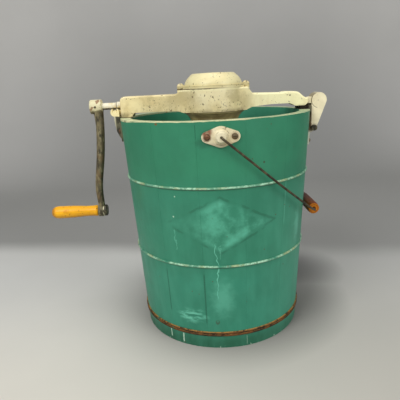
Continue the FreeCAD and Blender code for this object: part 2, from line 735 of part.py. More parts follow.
def ledge():
    """The shelf over the rim that the frame's tongue rests on."""
    start = TUB_TOP_R - LEDGE_INSET
    over_rim = TUB_TOP_R + LATCH_EAR_THICKNESS
    return side_prism(
        [
            (start, TUB_HEIGHT, 0),
            (over_rim, TUB_HEIGHT, 0),
            (over_rim, TONGUE_SEAT_Z - SEAT_GAP, 1.5),
            (start, TONGUE_SEAT_Z - SEAT_GAP, 1.5),
        ],
        LEDGE_HALF_WIDTH,
    )


def lip_lug():
    """The stub on the ledge that stands under the frame's lip."""
    start = TUB_TOP_R - LUG_INSET
    end = TUB_TOP_R + LUG_REACH
    return side_prism(
        [
            (start, TUB_HEIGHT, 0),
            (end, TUB_HEIGHT, 2.0),
            (end, LIP_BOTTOM_Z - SEAT_GAP, 2.0),
            (start, LIP_BOTTOM_Z - SEAT_GAP, 1.0),
        ],
        lug_half_width(),
    )


def pivot_lug():
    """The lug on the ear's plate that carries the latch's pin."""
    high = LATCH_PIVOT_Z + LATCH_TAIL_R
    low = LATCH_PIVOT_Z - LATCH_TAIL_R
    end = LATCH_PIVOT_X + LATCH_TAIL_R
    wall_x = tub_radius(LATCH_PIVOT_Z)
    lug = side_prism(
        [
            (TUB_FOOT_R, high + PIVOT_LUG_ROOT, 0),
            (TUB_FOOT_R, low - PIVOT_LUG_ROOT, 0),
            (wall_x, low - PIVOT_LUG_ROOT, 0),
            (end, low, LATCH_TAIL_R - 0.5),
            (end, high, LATCH_TAIL_R - 0.5),
            (wall_x, high + PIVOT_LUG_ROOT, 0),
        ],
        lug_half_width(),
    )
    return lug.cut(tub_cone())


def latch_ear():
    """The far ear: a plate, the seat for the frame's tongue, and the latch's pivot lug."""
    plate = tub_skin(LATCH_EAR_THICKNESS).common(
        box(
            (0, -LATCH_EAR_HALF_WIDTH, TUB_HEIGHT - LATCH_EAR_BOTTOM_DROP),
            (2 * TUB_TOP_R, LATCH_EAR_HALF_WIDTH, TUB_HEIGHT),
        )
    )
    ear = plate.fuse([ledge(), lip_lug(), pivot_lug()]).removeSplitter()
    slot_z = LATCH_PIVOT_Z + LATCH_TAIL_R
    slot_x = LATCH_HEAD_X - LATCH_HEAD_R - 2 * LATCH_SLOT_CLEARANCE
    for side in (-1, 1):
        ys = sorted((side * lug_half_width(), side * (LATCH_HALF_WIDTH + LATCH_SLOT_CLEARANCE)))
        ear = ear.cut(box((slot_x, ys[0], slot_z), (2 * slot_x, ys[1], 2 * TUB_HEIGHT)))
    pivot = vec(LATCH_PIVOT_X, 0, LATCH_PIVOT_Z)
    reach = Y_AXIS * LATCH_HALF_WIDTH
    ear = ear.cut(rod(pivot - reach, pivot + reach, LATCH_PIN_R))
    for seat, out in latch_screw_seats():
        ear = ear.cut(screw_hole(seat, out))
    return ear.Solids[0]


def latch_pin():
    """The latch's pivot: a bolt with a round head, riveted over at its far end."""
    pivot = vec(LATCH_PIVOT_X, 0, LATCH_PIVOT_Z)
    side = LATCH_HALF_WIDTH + LOOSE_CLEARANCE
    pin = rod(pivot - Y_AXIS * side, pivot + Y_AXIS * side, LATCH_PIN_R)
    near = rod(pivot - Y_AXIS * side, pivot - Y_AXIS * (side + LATCH_PIN_HEAD), LATCH_PIN_HEAD_R)
    far = rod(pivot + Y_AXIS * side, pivot + Y_AXIS * (side + LATCH_PIN_HEAD), LATCH_PIN_HEAD_R)
    return pin.fuse([near, far]).removeSplitter()


def can_pivot_plate():
    """The plate and round-nosed pin that the can turns on."""
    plate = Part.makeCylinder(PIVOT_PLATE_R, PIVOT_PLATE, vec(0, 0, BOTTOM_TOP_Z))
    pin_top = BOTTOM_TOP_Z + PIVOT_PLATE + PIVOT_PIN_HEIGHT
    straight = PIVOT_PIN_HEIGHT - PIVOT_PIN_R
    pin = Part.makeCylinder(PIVOT_PIN_R, straight, vec(0, 0, BOTTOM_TOP_Z + PIVOT_PLATE))
    nose = Part.makeSphere(PIVOT_PIN_R, vec(0, 0, pin_top - PIVOT_PIN_R))
    return plate.fuse([pin, nose]).removeSplitter()


# ---- gear frame ----
def frame_plan():
    """The frame seen from above: two beams that flare into the round gear drum."""
    w = FRAME_HALF_WIDTH
    bottom = TUB_HEIGHT
    height = COVER_SEAM_Z - bottom
    angle = math.radians(DRUM_JOIN_ANGLE)
    join = (DRUM_R * math.cos(angle), DRUM_R * math.sin(angle))
    mid = ((join[0] + FLARE_START_X) / 2 - FLARE_SAG[0], (join[1] + w) / 2 - FLARE_SAG[1])
    shapes = [Part.makeCylinder(DRUM_R, height, vec(0, 0, bottom))]
    for side, end in ((-1, FRAME_LEFT_X), (1, FRAME_RIGHT_X)):
        start = side * FLARE_START_X

        def at(x, y):
            return vec(x, y, bottom)

        edges = [
            Part.makeLine(at(0, -join[1]), at(side * join[0], -join[1])),
            Part.Arc(at(side * join[0], -join[1]), at(side * mid[0], -mid[1]), at(start, -w)).toShape(),
            Part.makeLine(at(start, -w), at(end, -w)),
            Part.makeLine(at(end, -w), at(end, w)),
            Part.makeLine(at(end, w), at(start, w)),
            Part.Arc(at(start, w), at(side * mid[0], mid[1]), at(side * join[0], join[1])).toShape(),
            Part.makeLine(at(side * join[0], join[1]), at(0, join[1])),
            Part.makeLine(at(0, join[1]), at(0, -join[1])),
        ]
        shapes.append(upright(Part.Face(Part.Wire(edges)).extrude(vec(0, 0, height))))
    return shapes[0].fuse(shapes[1:]).removeSplitter()


def rim_corners(corners):
    """Side-view corners from their distances in from the tub's edge and above its rim."""
    return [(TUB_TOP_R - inset, TUB_HEIGHT + rise, rounding) for inset, rise, rounding in corners]


def frame_side():
    """The frame seen from the front: foot, beams, hump and tongue."""
    foot = TUB_HEIGHT + SEAT_GAP
    left = [
        (FRAME_LEFT_X, FRAME_TOP_Z, FRAME_CORNER_R),
        (FRAME_LEFT_X, FRAME_BOTTOM_Z - 1, 0),
        (FRAME_LEFT_X + FRAME_FOOT_HEEL, foot, 1.0),
        (FRAME_FOOT_RIGHT_X, foot, 1.0),
        (FRAME_FOOT_RIGHT_X + FRAME_FOOT_SLOPE, FRAME_BOTTOM_Z, 3.0),
        (-DRUM_R - DRUM_JOIN_SLOPE, FRAME_BOTTOM_Z, 4.0),
    ]
    drum = [
        (-DRUM_R, DRUM_BOTTOM_Z, 3.0),
        (DRUM_R, DRUM_BOTTOM_Z, 3.0),
        (DRUM_R + DRUM_JOIN_SLOPE, FRAME_BOTTOM_Z + 1, 4.0),
    ]
    tongue = [
        (FRAME_RIGHT_X, TONGUE_SEAT_Z + 6, 0),
        (FRAME_RIGHT_X, TONGUE_TOP_Z, 1.5),
    ]
    shoulders = [
        (DRUM_R + SHOULDER_FOOT, RIGHT_BEAM_TOP_Z, 8.0),
        (DRUM_R + SHOULDER_TOP, COVER_SEAM_Z, 4.0),
        (-DRUM_R - SHOULDER_TOP, COVER_SEAM_Z, 4.0),
        (-DRUM_R - SHOULDER_FOOT, FRAME_TOP_Z, 8.0),
    ]
    underside = rim_corners(RIGHT_BEAM_UNDERSIDE + TONGUE_UNDERSIDE)
    corners = left + drum + underside + tongue + rim_corners(HUMP) + shoulders
    return side_prism(corners, 2 * DRUM_R)


def hook():
    """The finger that passes under the hinge bar and turns up outside it."""
    groove_r = HINGE_BAR_R + LOOSE_CLEARANCE
    finger = HINGE_X - groove_r
    root_x = FRAME_LEFT_X + HOOK_ROOT
    body = side_prism(
        [
            (root_x, HOOK_BOTTOM_Z, 0),
            (HOOK_LEFT_X + HOOK_TOE, HOOK_BOTTOM_Z, HOOK_ROUND),
            (HOOK_LEFT_X, HOOK_BOTTOM_Z + HOOK_TOE, HOOK_ROUND - 1),
            (HOOK_LEFT_X + 1, HOOK_TIP_Z, HOOK_TIP_ROUND),
            (finger, HOOK_TIP_Z, HOOK_TIP_ROUND),
            (finger, HINGE_Z, 0),
            (HINGE_X + groove_r, HINGE_Z, 0),
            (HINGE_X + groove_r, HOOK_TIP_Z, 0),
            (root_x, HOOK_TIP_Z, 0),
        ],
        HOOK_HALF_WIDTH,
    )
    reach = Y_AXIS * (HOOK_HALF_WIDTH + 1)
    pivot = vec(HINGE_X, 0, HINGE_Z)
    return body.cut(rod(pivot - reach, pivot + reach, groove_r))


def nib_z(x):
    """Height of the latch nib's sloping underside at x."""
    return NIB_Z - (x - FRAME_RIGHT_X) * math.tan(math.radians(NIB_SLOPE))


def lip():
    """The sloping lip on the tongue's end that the latch's nib holds down."""
    end = FRAME_RIGHT_X + LIP_LENGTH
    return side_prism(
        [
            (FRAME_RIGHT_X - 3, LIP_BOTTOM_Z + 0.8, 0),
            (end, LIP_BOTTOM_Z, 0.8),
            (end, nib_z(end) - NIB_GAP, 0.8),
            (FRAME_RIGHT_X - 3, nib_z(FRAME_RIGHT_X - 3) - NIB_GAP, 0),
        ],
        LATCH_HALF_WIDTH - LATCH_CHEEK - 1.2,
    )


def bush_radius():
    return SHAFT_R + RUNNING_CLEARANCE + BUSH_WALL


def top_edges(body):
    """The long upper edges of the beams' sides."""
    edges = []
    for edge in body.Edges:
        bounds = edge.BoundBox
        on_side = abs(abs(bounds.YMin) - FRAME_HALF_WIDTH) < 0.01 and bounds.YLength < 0.01
        if on_side and bounds.ZMin > TONGUE_TOP_Z - 1 and bounds.XLength > 2 * BEAM_EDGE_R:
            edges.append(edge)
    return edges


def frame_hollows():
    """What the foundry's cores leave out: the drum, the beams' channels, the pinion's pocket."""
    low = TUB_HEIGHT - 1
    inner_w = FRAME_HALF_WIDTH - FRAME_WALL
    web_x = DRUM_R + DRUM_WEB
    shaft_at = vec(0, 0, SHAFT_Z)
    return [
        Part.makeCylinder(DRUM_R - DRUM_WALL, TUB_HEIGHT, vec(0, 0, low)),
        box((FRAME_LEFT_X + END_WALL, -inner_w, low), (-web_x, inner_w, FRAME_TOP_Z - FRAME_WALL)),
        box((web_x, -inner_w, low), (CHANNEL_RIGHT_X, inner_w, RIGHT_BEAM_TOP_Z - CHANNEL_ROOF)),
        rod(
            shaft_at + X_AXIS * PINION_POCKET_LEFT_X,
            shaft_at + X_AXIS * INNER_BEARING_LEFT_X,
            PINION_POCKET_R,
        ),
    ]


def frame_spokes():
    """The spokes between the drum's wall and the centre sleeve."""
    spokes = []
    for angle in SPOKE_ANGLES:
        spoke = box(
            (SLEEVE_BORE_R + 1, -SPOKE_WIDTH / 2, SHAFT_Z - SPOKE_HEIGHT / 2),
            (DRUM_R - DRUM_WALL + 1, SPOKE_WIDTH / 2, SHAFT_Z + SPOKE_HEIGHT / 2),
        )
        spoke.rotate(ORIGIN, Z_AXIS, angle)
        spokes.append(spoke)
    return spokes


def gear_frame():
    """The cast frame: channel beams, gear drum, centre sleeve on spokes, and bearings."""
    body = frame_plan().common(frame_side())
    body = body.makeFillet(BEAM_EDGE_R, top_edges(body)).cut(frame_hollows())
    shaft_at = vec(0, 0, SHAFT_Z)
    bush_at = shaft_at + X_AXIS * BUSH_LEFT_X
    post_z = FRAME_TOP_Z - POST_DEPTH
    cover_seat = Part.makeCylinder(COVER_R + LOOSE_CLEARANCE, TUB_HEIGHT, vec(0, 0, COVER_SEAM_Z))
    posts = [
        Part.makeCylinder(POST_R, COVER_LUG_Z - post_z, vec(x, 0, post_z)).cut(cover_seat)
        for x in (-POST_X, POST_X)
    ]
    sleeve_top = upper_gear_bottom() - LOOSE_CLEARANCE
    sleeve = Part.makeCylinder(SLEEVE_R, sleeve_top - SLEEVE_BOTTOM_Z, vec(0, 0, SLEEVE_BOTTOM_Z))
    inner = rod(shaft_at + X_AXIS * INNER_BEARING_LEFT_X, shaft_at, INNER_BEARING_R)
    body = body.fuse(posts + [sleeve, inner, hook(), lip()] + frame_spokes())
    bores = [
        Part.makeCylinder(SLEEVE_BORE_R, TUB_HEIGHT, vec(0, 0, TUB_HEIGHT / 2)),
        rod(bush_at, shaft_at + X_AXIS * (FRAME_LEFT_X + END_WALL + 1), bush_radius()),
        rod(bush_at, shaft_at - X_AXIS * SLEEVE_BORE_R, SHAFT_R + RUNNING_CLEARANCE),
    ]
    screw_z = COVER_SEAM_Z - SCREW_LENGTH
    for x in (-POST_X, POST_X):
        bores.append(Part.makeCylinder(SCREW_SHANK_R, 2 * SCREW_LENGTH, vec(x, 0, screw_z)))
    return body.cut(bores).removeSplitter().Solids[0]


def shaft_bush():
    """The bush in the frame's crank-side end, which stands out as a collar."""
    start = vec(BUSH_LEFT_X, 0, SHAFT_Z)
    end = vec(FRAME_LEFT_X + END_WALL, 0, SHAFT_Z)
    bore = rod(start, end, SHAFT_R + RUNNING_CLEARANCE)
    return rod(start, end, bush_radius()).cut(bore)


def dome(inset):
    """The cover's dome as a solid; a larger inset gives the smaller one of its inside."""
    in_scale = 1 - inset / DOME[0][0]
    up_scale = 1 - inset / (COVER_TOP_Z - COVER_SEAM_Z)
    points = [vec(0, 0, COVER_SEAM_Z)]
    points += [vec(r * in_scale, 0, COVER_SEAM_Z + rise * up_scale) for r, rise, _ in DOME]
    wire = rounded_wire(points, [0] + [rounding for _, _, rounding in DOME])
    return upright(Part.Face(wire).revolve(ORIGIN, Z_AXIS, 360))


def cover_lug(side):
    """One screw lug of the cover, on the crank side for -1 and the latch side for 1."""
    root = side * (COVER_R - COVER_LUG_ROOT)
    tip = side * (POST_X + POST_R)
    return plan_prism(
        [
            (root, -POST_R - COVER_LUG_FLARE, 0),
            (tip, -POST_R, POST_R - 0.2),
            (tip, POST_R, POST_R - 0.2),
            (root, POST_R + COVER_LUG_FLARE, 0),
        ],
        COVER_LUG_Z,
        COVER_LUG_Z + COVER_LUG_THICKNESS,
    )


def gear_cover():
    """The domed cover, with two screw lugs and a collar for the upper gear's hub."""
    seam = COVER_SEAM_Z
    flange = Part.makeCylinder(COVER_R, COVER_FLANGE, vec(0, 0, seam))
    collar_z = seam + COVER_COLLAR_GAP
    collar_height = COVER_TOP_Z - COVER_WALL / 2 - collar_z
    collar = Part.makeCylinder(COVER_COLLAR_R, collar_height, vec(0, 0, collar_z))
    solid = dome(0).fuse([flange, cover_lug(-1), cover_lug(1)]).cut(dome(COVER_WALL))
    solid = solid.fuse(collar).removeSplitter()
    hub_r = UPPER_HUB_R + LOOSE_CLEARANCE
    solid = solid.cut(Part.makeCylinder(hub_r, UPPER_HUB_TOP_Z + 1 - seam, vec(0, 0, seam)))
    for x in (-POST_X, POST_X):
        solid = solid.cut(Part.makeCylinder(SCREW_SHANK_R, SCREW_LENGTH, vec(x, 0, seam)))
    return solid.Solids[0]


def cover_screws():
    """Two cheese-headed screws that hold the cover down."""
    seat = COVER_LUG_Z + COVER_LUG_THICKNESS
    screws = []
    for x in (-POST_X, POST_X):
        head = slotted_head(COVER_SCREW_HEAD_R, COVER_SCREW_HEAD_HEIGHT)
        shank = Part.makeCylinder(SCREW_SHANK_R, SCREW_LENGTH, vec(0, 0, -SCREW_LENGTH))
        screws.append(placed(head.fuse(shank), Z_AXIS, vec(x, 0, seat)))
    return screws


def gear_retainer():
    """The ring on the sleeve's foot that keeps the lower gear in the frame."""
    top = HUB_BOTTOM_Z - LOOSE_CLEARANCE
    return ring(SLEEVE_R, RETAINER_R, top - RETAINER_THICKNESS, top)


# ---- bevel gears ----
def ring_pitch_r():
    return GEAR_MODULE * RING_TEETH / 2


def pinion_pitch_r():
    return GEAR_MODULE * PINION_TEETH / 2


def cone_distance():
    return math.hypot(ring_pitch_r(), pinion_pitch_r())


def cone_point(cone_angle, offset, shrink=1.0):
    """(radius, distance from the apex) of a point offset from the pitch cone's large end."""
    e = (math.sin(cone_angle), math.cos(cone_angle))
    n = (math.cos(cone_angle), -math.sin(cone_angle))
    reach = cone_distance()
    return (
        (reach * e[0] + offset * n[0]) * shrink,
        (reach * e[1] + offset * n[1]) * shrink,
    )


def small_end():
    return 1 - TOOTH_FACE / cone_distance()


def tooth(cone_angle, half_widths):
    """One straight bevel tooth from (offset, half width) pairs, tapering to the apex."""
    wires = []
    for shrink in (1.0, small_end()):
        left, right = [], []
        for offset, half in half_widths:
            r, z = cone_point(cone_angle, offset, shrink)
            left.append(vec(r, -half * shrink, z))
            right.append(vec(r, half * shrink, z))
        loop = left + right[::-1]
        wires.append(Part.makePolygon(loop + loop[:1]))
    return upright(Part.makeLoft(wires, True, True))


def flank(offset, curve):
    """Half the thickness of a tooth at an offset from the pitch cone."""
    pitch_half = (math.pi * GEAR_MODULE / 2 - TOOTH_BACKLASH) / 2
    lean = math.tan(math.radians(PRESSURE_ANGLE))
    return pitch_half - offset * lean - curve * offset * offset


def ring_of_teeth(cone_angle, teeth, curve, phase):
    """All the teeth of a bevel gear whose axis is +Z and whose apex is the origin."""
    root = -TOOTH_DEDENDUM - 0.8
    offsets = [root, -TOOTH_ADDENDUM / 2, 0, TOOTH_ADDENDUM]
    pairs = [(v, flank(v, curve)) for v in offsets]
    pairs[0] = (root, pairs[1][1] + (0.1 if curve else 1.0))
    one = tooth(cone_angle, pairs)
    step = 360.0 / teeth
    copies = []
    for i in range(teeth):
        copy = one.copy()
        copy.rotate(ORIGIN, Z_AXIS, i * step + phase)
        copies.append(copy)
    return copies


def ring_gear(extra_outline):
    """A ring gear with its apex at the origin and its back towards +Z."""
    angle = math.atan2(ring_pitch_r(), pinion_pitch_r())
    large = cone_point(angle, -TOOTH_DEDENDUM)
    small = cone_point(angle, -TOOTH_DEDENDUM, small_end())
    body = turned([large, small] + extra_outline)
    half_tooth = 180.0 / RING_TEETH
    teeth = ring_of_teeth(angle, RING_TEETH, RING_CURVE, half_tooth)
    return body.fuse(teeth).removeSplitter()


def web_face():
    """Distance from the apex to the ring gears' inner web face."""
    angle = math.atan2(ring_pitch_r(), pinion_pitch_r())
    return cone_point(angle, -TOOTH_DEDENDUM, small_end())[1] + WEB_STEP


def lower_gear():
    """The ring gear that turns the can: hub on the sleeve, dished back, notched skirt."""
    bore = SLEEVE_R + LOOSE_CLEARANCE
    web = web_face()
    pocket_z = SHAFT_Z - HUB_BOTTOM_Z
    skirt_z = SHAFT_Z - SKIRT_BOTTOM_Z
    inner = ring_pitch_r() * small_end() - RING_RIM
    solid = ring_gear(
        [
            (inner, web),
            (bore, web),
            (bore, pocket_z),
            (POCKET_R, pocket_z),
            (POCKET_R, skirt_z),
            (SKIRT_R, skirt_z),
            *LOWER_DISH,
        ]
    )
    solid.rotate(ORIGIN, X_AXIS, 180)
    solid.translate(vec(0, 0, SHAFT_Z))
    half = DRIVER_LUG_WIDTH / 2 + DRIVER_LUG_CLEARANCE
    for i in range(DRIVER_LUGS):
        notch = box((POCKET_R - 2, -half, SKIRT_BOTTOM_Z - 1), (SKIRT_R + 8, half, HUB_BOTTOM_Z))
        notch.rotate(ORIGIN, Z_AXIS, driver_angle(i))
        solid = solid.cut(notch)
    return solid.Solids[0]


def driver_angle(index):
    return DRIVER_FIRST_LUG + index * 360.0 / DRIVER_LUGS


def upper_gear_bottom():
    return SHAFT_Z + web_face() - UPPER_BOSS


def upper_gear():
    """The ring gear that turns the dasher, with a loose square socket for its stem."""
    web = web_face()
    inner = ring_pitch_r() * small_end() - RING_RIM
    back = COVER_SEAM_Z - SHAFT_Z - 0.5
    bottom = upper_gear_bottom() - SHAFT_Z
    top = UPPER_HUB_TOP_Z - SHAFT_Z
    solid = ring_gear(
        [
            (inner, web),
            (UPPER_HUB_R + UPPER_BOSS_RIM, web),
            (UPPER_HUB_R + UPPER_BOSS_RIM, bottom),
            (0, bottom),
            (0, top),
            (UPPER_HUB_R, top),
            (UPPER_HUB_R, back),
            (UPPER_BACK_R, back),
        ]
    )
    solid.translate(vec(0, 0, SHAFT_Z))
    half = STEM_SQUARE / 2 + STEM_CLEARANCE
    socket = box((-half, -half, SHAFT_Z + bottom - 1), (half, half, STEM_TOP_Z + 1.5))
    return solid.cut(socket).Solids[0]


def drive_pinion():
    """The bevel pinion on the crank shaft."""
    angle = math.atan2(pinion_pitch_r(), ring_pitch_r())
    large = cone_point(angle, -TOOTH_DEDENDUM)
    small = cone_point(angle, -TOOTH_DEDENDUM, small_end())
    hub_end = -PINION_HUB_RIGHT_X
    body = turned(
        [
            (SHAFT_R, large[1] + PINION_BACK),
            (SHAFT_R, hub_end),
            (PINION_HUB_R, hub_end),
            (PINION_HUB_R, small[1]),
            small,
            large,
            (large[0], large[1] + PINION_BACK),
        ]
    )
    teeth = ring_of_teeth(angle, PINION_TEETH, PINION_CURVE, 0.0)
    solid = body.fuse(teeth).removeSplitter()
    solid.rotate(ORIGIN, Y_AXIS, -90)
    solid.translate(vec(0, 0, SHAFT_Z))
    return solid.cut(pinion_pin()).Solids[0]


def pinion_pin():
    """The cross pin through the pinion's hub and the shaft."""
    x = PINION_HUB_RIGHT_X - 4.0
    reach = PINION_HUB_R - 0.5
    return rod(vec(x, -reach, SHAFT_Z), vec(x, reach, SHAFT_Z), PINION_PIN_R)


# ---- crank ----
def crank_pin():
    """The cross pin through the crank's hub and the shaft."""
    x = (CRANK_HUB_LEFT_X + CRANK_HUB_RIGHT_X) / 2
    reach = CRANK_HUB_R + 0.6
    return rod(vec(x, -reach, SHAFT_Z), vec(x, reach, SHAFT_Z), CRANK_PIN_R)


def crank_shaft():
    start = vec(CRANK_HUB_LEFT_X - 1.5, 0, SHAFT_Z)
    end = vec(-SLEEVE_BORE_R - 6, 0, SHAFT_Z)
    return rod(start, end, SHAFT_R).cut([crank_pin(), pinion_pin()])


def arm_section(x, z, thickness, width, lean):
    """An oval section of the crank's arm, square to its own stretch of the arm."""
    middle = vec(x, 0, z)
    if width >= thickness:
        oval = Part.Ellipse(ORIGIN, width / 2, thickness / 2)
    else:
        oval = Part.Ellipse(ORIGIN, thickness / 2, width / 2)
    wire = Part.Wire(oval.toShape())
    wire.rotate(ORIGIN, Z_AXIS, 90 if width >= thickness else 0)
    wire.rotate(ORIGIN, Y_AXIS, lean)
    wire.translate(middle)
    return wire


def crank_arm():
    """The forged arm: hub, a shallow S in its length, and the handle's boss."""
    low = SHAFT_Z - CRANK_THROW
    sections = []
    for x, drop, thickness, width, lean in ARM_SECTIONS:
        sections.append(arm_section(CRANK_HUB_RIGHT_X + x, SHAFT_Z - drop, thickness, width, lean))
    arm = upright(Part.makeLoft(sections, True))
    hub = rod(vec(CRANK_HUB_LEFT_X, 0, SHAFT_Z), vec(CRANK_HUB_RIGHT_X, 0, SHAFT_Z), CRANK_HUB_R)
    boss = rod(vec(CRANK_BOSS_LEFT_X, 0, low), vec(CRANK_BOSS_RIGHT_X, 0, low), CRANK_BOSS_R)
    hub = hub.makeFillet(CRANK_HUB_ROUND, hub.Edges)
    boss = boss.makeFillet(CRANK_BOSS_ROUND, boss.Edges)
    head_end = CRANK_BOSS_RIGHT_X + 2 * HANDLE_HEAD
    clear = rod(vec(CRANK_BOSS_RIGHT_X, 0, low), vec(head_end, 0, low), HANDLE_HEAD_R + LOOSE_CLEARANCE)
    solid = hub.fuse([boss, arm.cut(clear)]).removeSplitter()
    through = rod(vec(2 * CRANK_HUB_LEFT_X, 0, SHAFT_Z), vec(0, 0, SHAFT_Z), SHAFT_R)
    handle = rod(vec(2 * CRANK_BOSS_LEFT_X, 0, low), vec(0, 0, low), HANDLE_BOLT_R)
    return solid.cut([through, handle, crank_pin()]).Solids[0]


def grip_end_x():
    return CRANK_BOSS_LEFT_X - GRIP_GAP - GRIP_LENGTH


def handle_bolt():
    """The bolt that the crank's grip turns on, riveted over in the grip's end."""
    low = SHAFT_Z - CRANK_THROW
    right = CRANK_BOSS_RIGHT_X
    head = rod(vec(right, 0, low), vec(right + HANDLE_HEAD, 0, low), HANDLE_HEAD_R)
    rim = [edge for edge in head.Edges if edge.BoundBox.XMin > right + 1]
    head = head.makeFillet(HANDLE_HEAD_ROUND, rim)
    end = grip_end_x() + HANDLE_RIVET + HANDLE_RIVET_SINK
    shank = rod(vec(right, 0, low), vec(end, 0, low), HANDLE_BOLT_R)
    rivet = rod(vec(end, 0, low), vec(end - HANDLE_RIVET, 0, low), HANDLE_RIVET_R)
    return head.fuse([shank, rivet]).removeSplitter()


def crank_grip():
    """The turned wooden grip, waisted near the crank and fullest near its end."""
    start = CRANK_BOSS_LEFT_X - GRIP_GAP
    end = grip_end_x()
    profile = [vec(start - along, 0, radius) for along, radius in GRIP_PROFILE]
    spline = Part.BSplineCurve()
    spline.interpolate(profile)
    rim = vec(start, 0, GRIP_RIM_R)
    edges = [
        spline.toShape(),
        Part.makeLine(profile[-1], vec(end, 0, 0)),
        Part.makeLine(vec(end, 0, 0), vec(start, 0, 0)),
        Part.makeLine(vec(start, 0, 0), rim),
        Part.makeLine(rim, profile[0]),
    ]
    solid = upright(Part.Face(Part.Wire(edges)).revolve(ORIGIN, X_AXIS, 360))
    recess = HANDLE_RIVET_R + LOOSE_CLEARANCE
    bore = HANDLE_BOLT_R + LOOSE_CLEARANCE
    depth = HANDLE_RIVET + HANDLE_RIVET_SINK + LOOSE_CLEARANCE
    solid = solid.cut(rod(vec(end - 1, 0, 0), vec(end + depth, 0, 0), recess))
    solid = solid.cut(rod(vec(end - 1, 0, 0), vec(start + 1, 0, 0), bore))
    solid.translate(vec(0, 0, SHAFT_Z - CRANK_THROW))
    return solid


# ---- latch ----
def teardrop(head_r, tail_r, half_width):
    """A prism round two circles of different size and the lines that touch both."""
    head = vec(LATCH_HEAD_X, 0, LATCH_HEAD_Z)
    tail = vec(LATCH_PIVOT_X, 0, LATCH_PIVOT_Z)
    along = head - tail
    length = along.Length
    along.normalize()
    across = vec(along.z, 0, -along.x)
    sine = (head_r - tail_r) / length
    cosine = math.sqrt(1 - sine * sine)

    def touch(centre, radius, side):
        return centre + (across * (side * cosine) - along * sine) * radius

    a = touch(head, head_r, -1)
    b = touch(head, head_r, 1)
    c = touch(tail, tail_r, 1)
    d = touch(tail, tail_r, -1)
    edges = [
        Part.Arc(a, head + along * head_r, b).toShape(),
        Part.makeLine(b, c),
        Part.Arc(c, tail - along * tail_r, d).toShape(),
        Part.makeLine(d, a),
    ]
    wire = Part.Wire(edges)
    wire.translate(vec(0, -half_width, 0))
    return upright(Part.Face(wire).extrude(vec(0, 2 * half_width, 0)))


def latch():
    """The cast latch: two teardrop cheeks, a rim that joins them, and the hooked nib."""
    inner = LATCH_HALF_WIDTH - LATCH_CHEEK
    outer = teardrop(LATCH_HEAD_R, LATCH_TAIL_R, LATCH_HALF_WIDTH)
    shoulder_x, shoulder_rise, shoulder_round = LATCH_NOSE_SHOULDER
    nose = side_prism(
        [
            (LATCH_NOSE_X, LATCH_NOSE_BOTTOM_Z, 1.0),
            (LATCH_NOSE_X, TONGUE_TOP_Z - 0.5, 5.0),
            (LATCH_NOSE_X + shoulder_x, TUB_HEIGHT + shoulder_rise, shoulder_round),
            (LATCH_HEAD_X, LATCH_HEAD_Z + LATCH_HEAD_R, 0),
            (LATCH_HEAD_X, LATCH_NOSE_BOTTOM_Z, 0),
        ],
        LATCH_HALF_WIDTH - LATCH_NOSE_STEP,
    )
    hollow = teardrop(LATCH_HEAD_R - LATCH_RIM, LATCH_TAIL_R - LATCH_TAIL_WALL, inner)
    left = LATCH_NOSE_X - 10
    right = LATCH_PIVOT_X
    under = side_prism(
        [
            (left, nib_z(left), 0),
            (right, nib_z(right), 0),
            (right, LATCH_PIVOT_Z - LATCH_TAIL_R - 4, 0),
            (left, LATCH_PIVOT_Z - LATCH_TAIL_R - 4, 0),
        ],
        inner,
    )
    foot = box(
        (LATCH_PIVOT_X, -inner, LATCH_PIVOT_Z - LATCH_TAIL_R - 4),
        (LATCH_PIVOT_X + 20, inner, LATCH_PIVOT_Z + LATCH_TAIL_R + 3),
    )
    solid = outer.fuse(nose).removeSplitter().cut([hollow, under, foot])
    pivot = vec(LATCH_PIVOT_X, 0, LATCH_PIVOT_Z)
    reach = Y_AXIS * (LATCH_HALF_WIDTH + 1)
    solid = solid.cut(rod(pivot - reach, pivot + reach, LATCH_PIN_R + RUNNING_CLEARANCE))
    return solid.Solids[0]


# ---- bail ----
def bail_rest_angle():
    """How far the hanging bail has dropped from level when its grip nears the tub's wall."""
    slope = math.atan2(TUB_TOP_R - TUB_FOOT_R, TUB_HEIGHT)
    clear = BAIL_GRIP_R + BAIL_REST_GAP
    return slope + math.acos((tub_radius(BAIL_AXIS_Z) * math.cos(slope) + clear) / BAIL_LENGTH)


def bail_point(t, y):
    """A point in the bail's plane: t from the pivots' axis, and y across."""
    a = bail_rest_angle()
    return vec(t * math.cos(a), y, BAIL_AXIS_Z - t * math.sin(a))


def bail_leg_y():
    return BAIL_HUB_Y + BAIL_LEG_STANDOFF + BAIL_WIRE_R


def bail_wire():
    """The wire handle: an eye end in each ear, and an arch that narrows to the grip."""
    leg = bail_leg_y()
    eye = tub_radius(BAIL_AXIS_Z) + BAIL_EYE_GAP
    bend = leg - BAIL_HUB_Y
    near = [
        bail_point(0, -eye),
        bail_point(0, -leg),
        bail_point(BAIL_LENGTH - BAIL_KNEE[0], BAIL_KNEE[1] - BAIL_HUB_Y),
        bail_point(BAIL_LENGTH - BAIL_SHOULDER[0], BAIL_SHOULDER[1] - BAIL_HUB_Y),
        bail_point(BAIL_LENGTH, -BAIL_TOP_HALF_WIDTH),
    ]
    far = [vec(p.x, -p.y, p.z) for p in reversed(near)]
    radii = [0, bend, BAIL_KNEE_R, BAIL_SHOULDER_R, BAIL_TOP_R]
    path = rounded_wire(near + far, radii + radii[::-1], closed=False)
    circle = Part.Wire(Part.Circle(near[0], Y_AXIS, BAIL_WIRE_R).toShape())
    return upright(path.makePipeShell([circle], True, False))


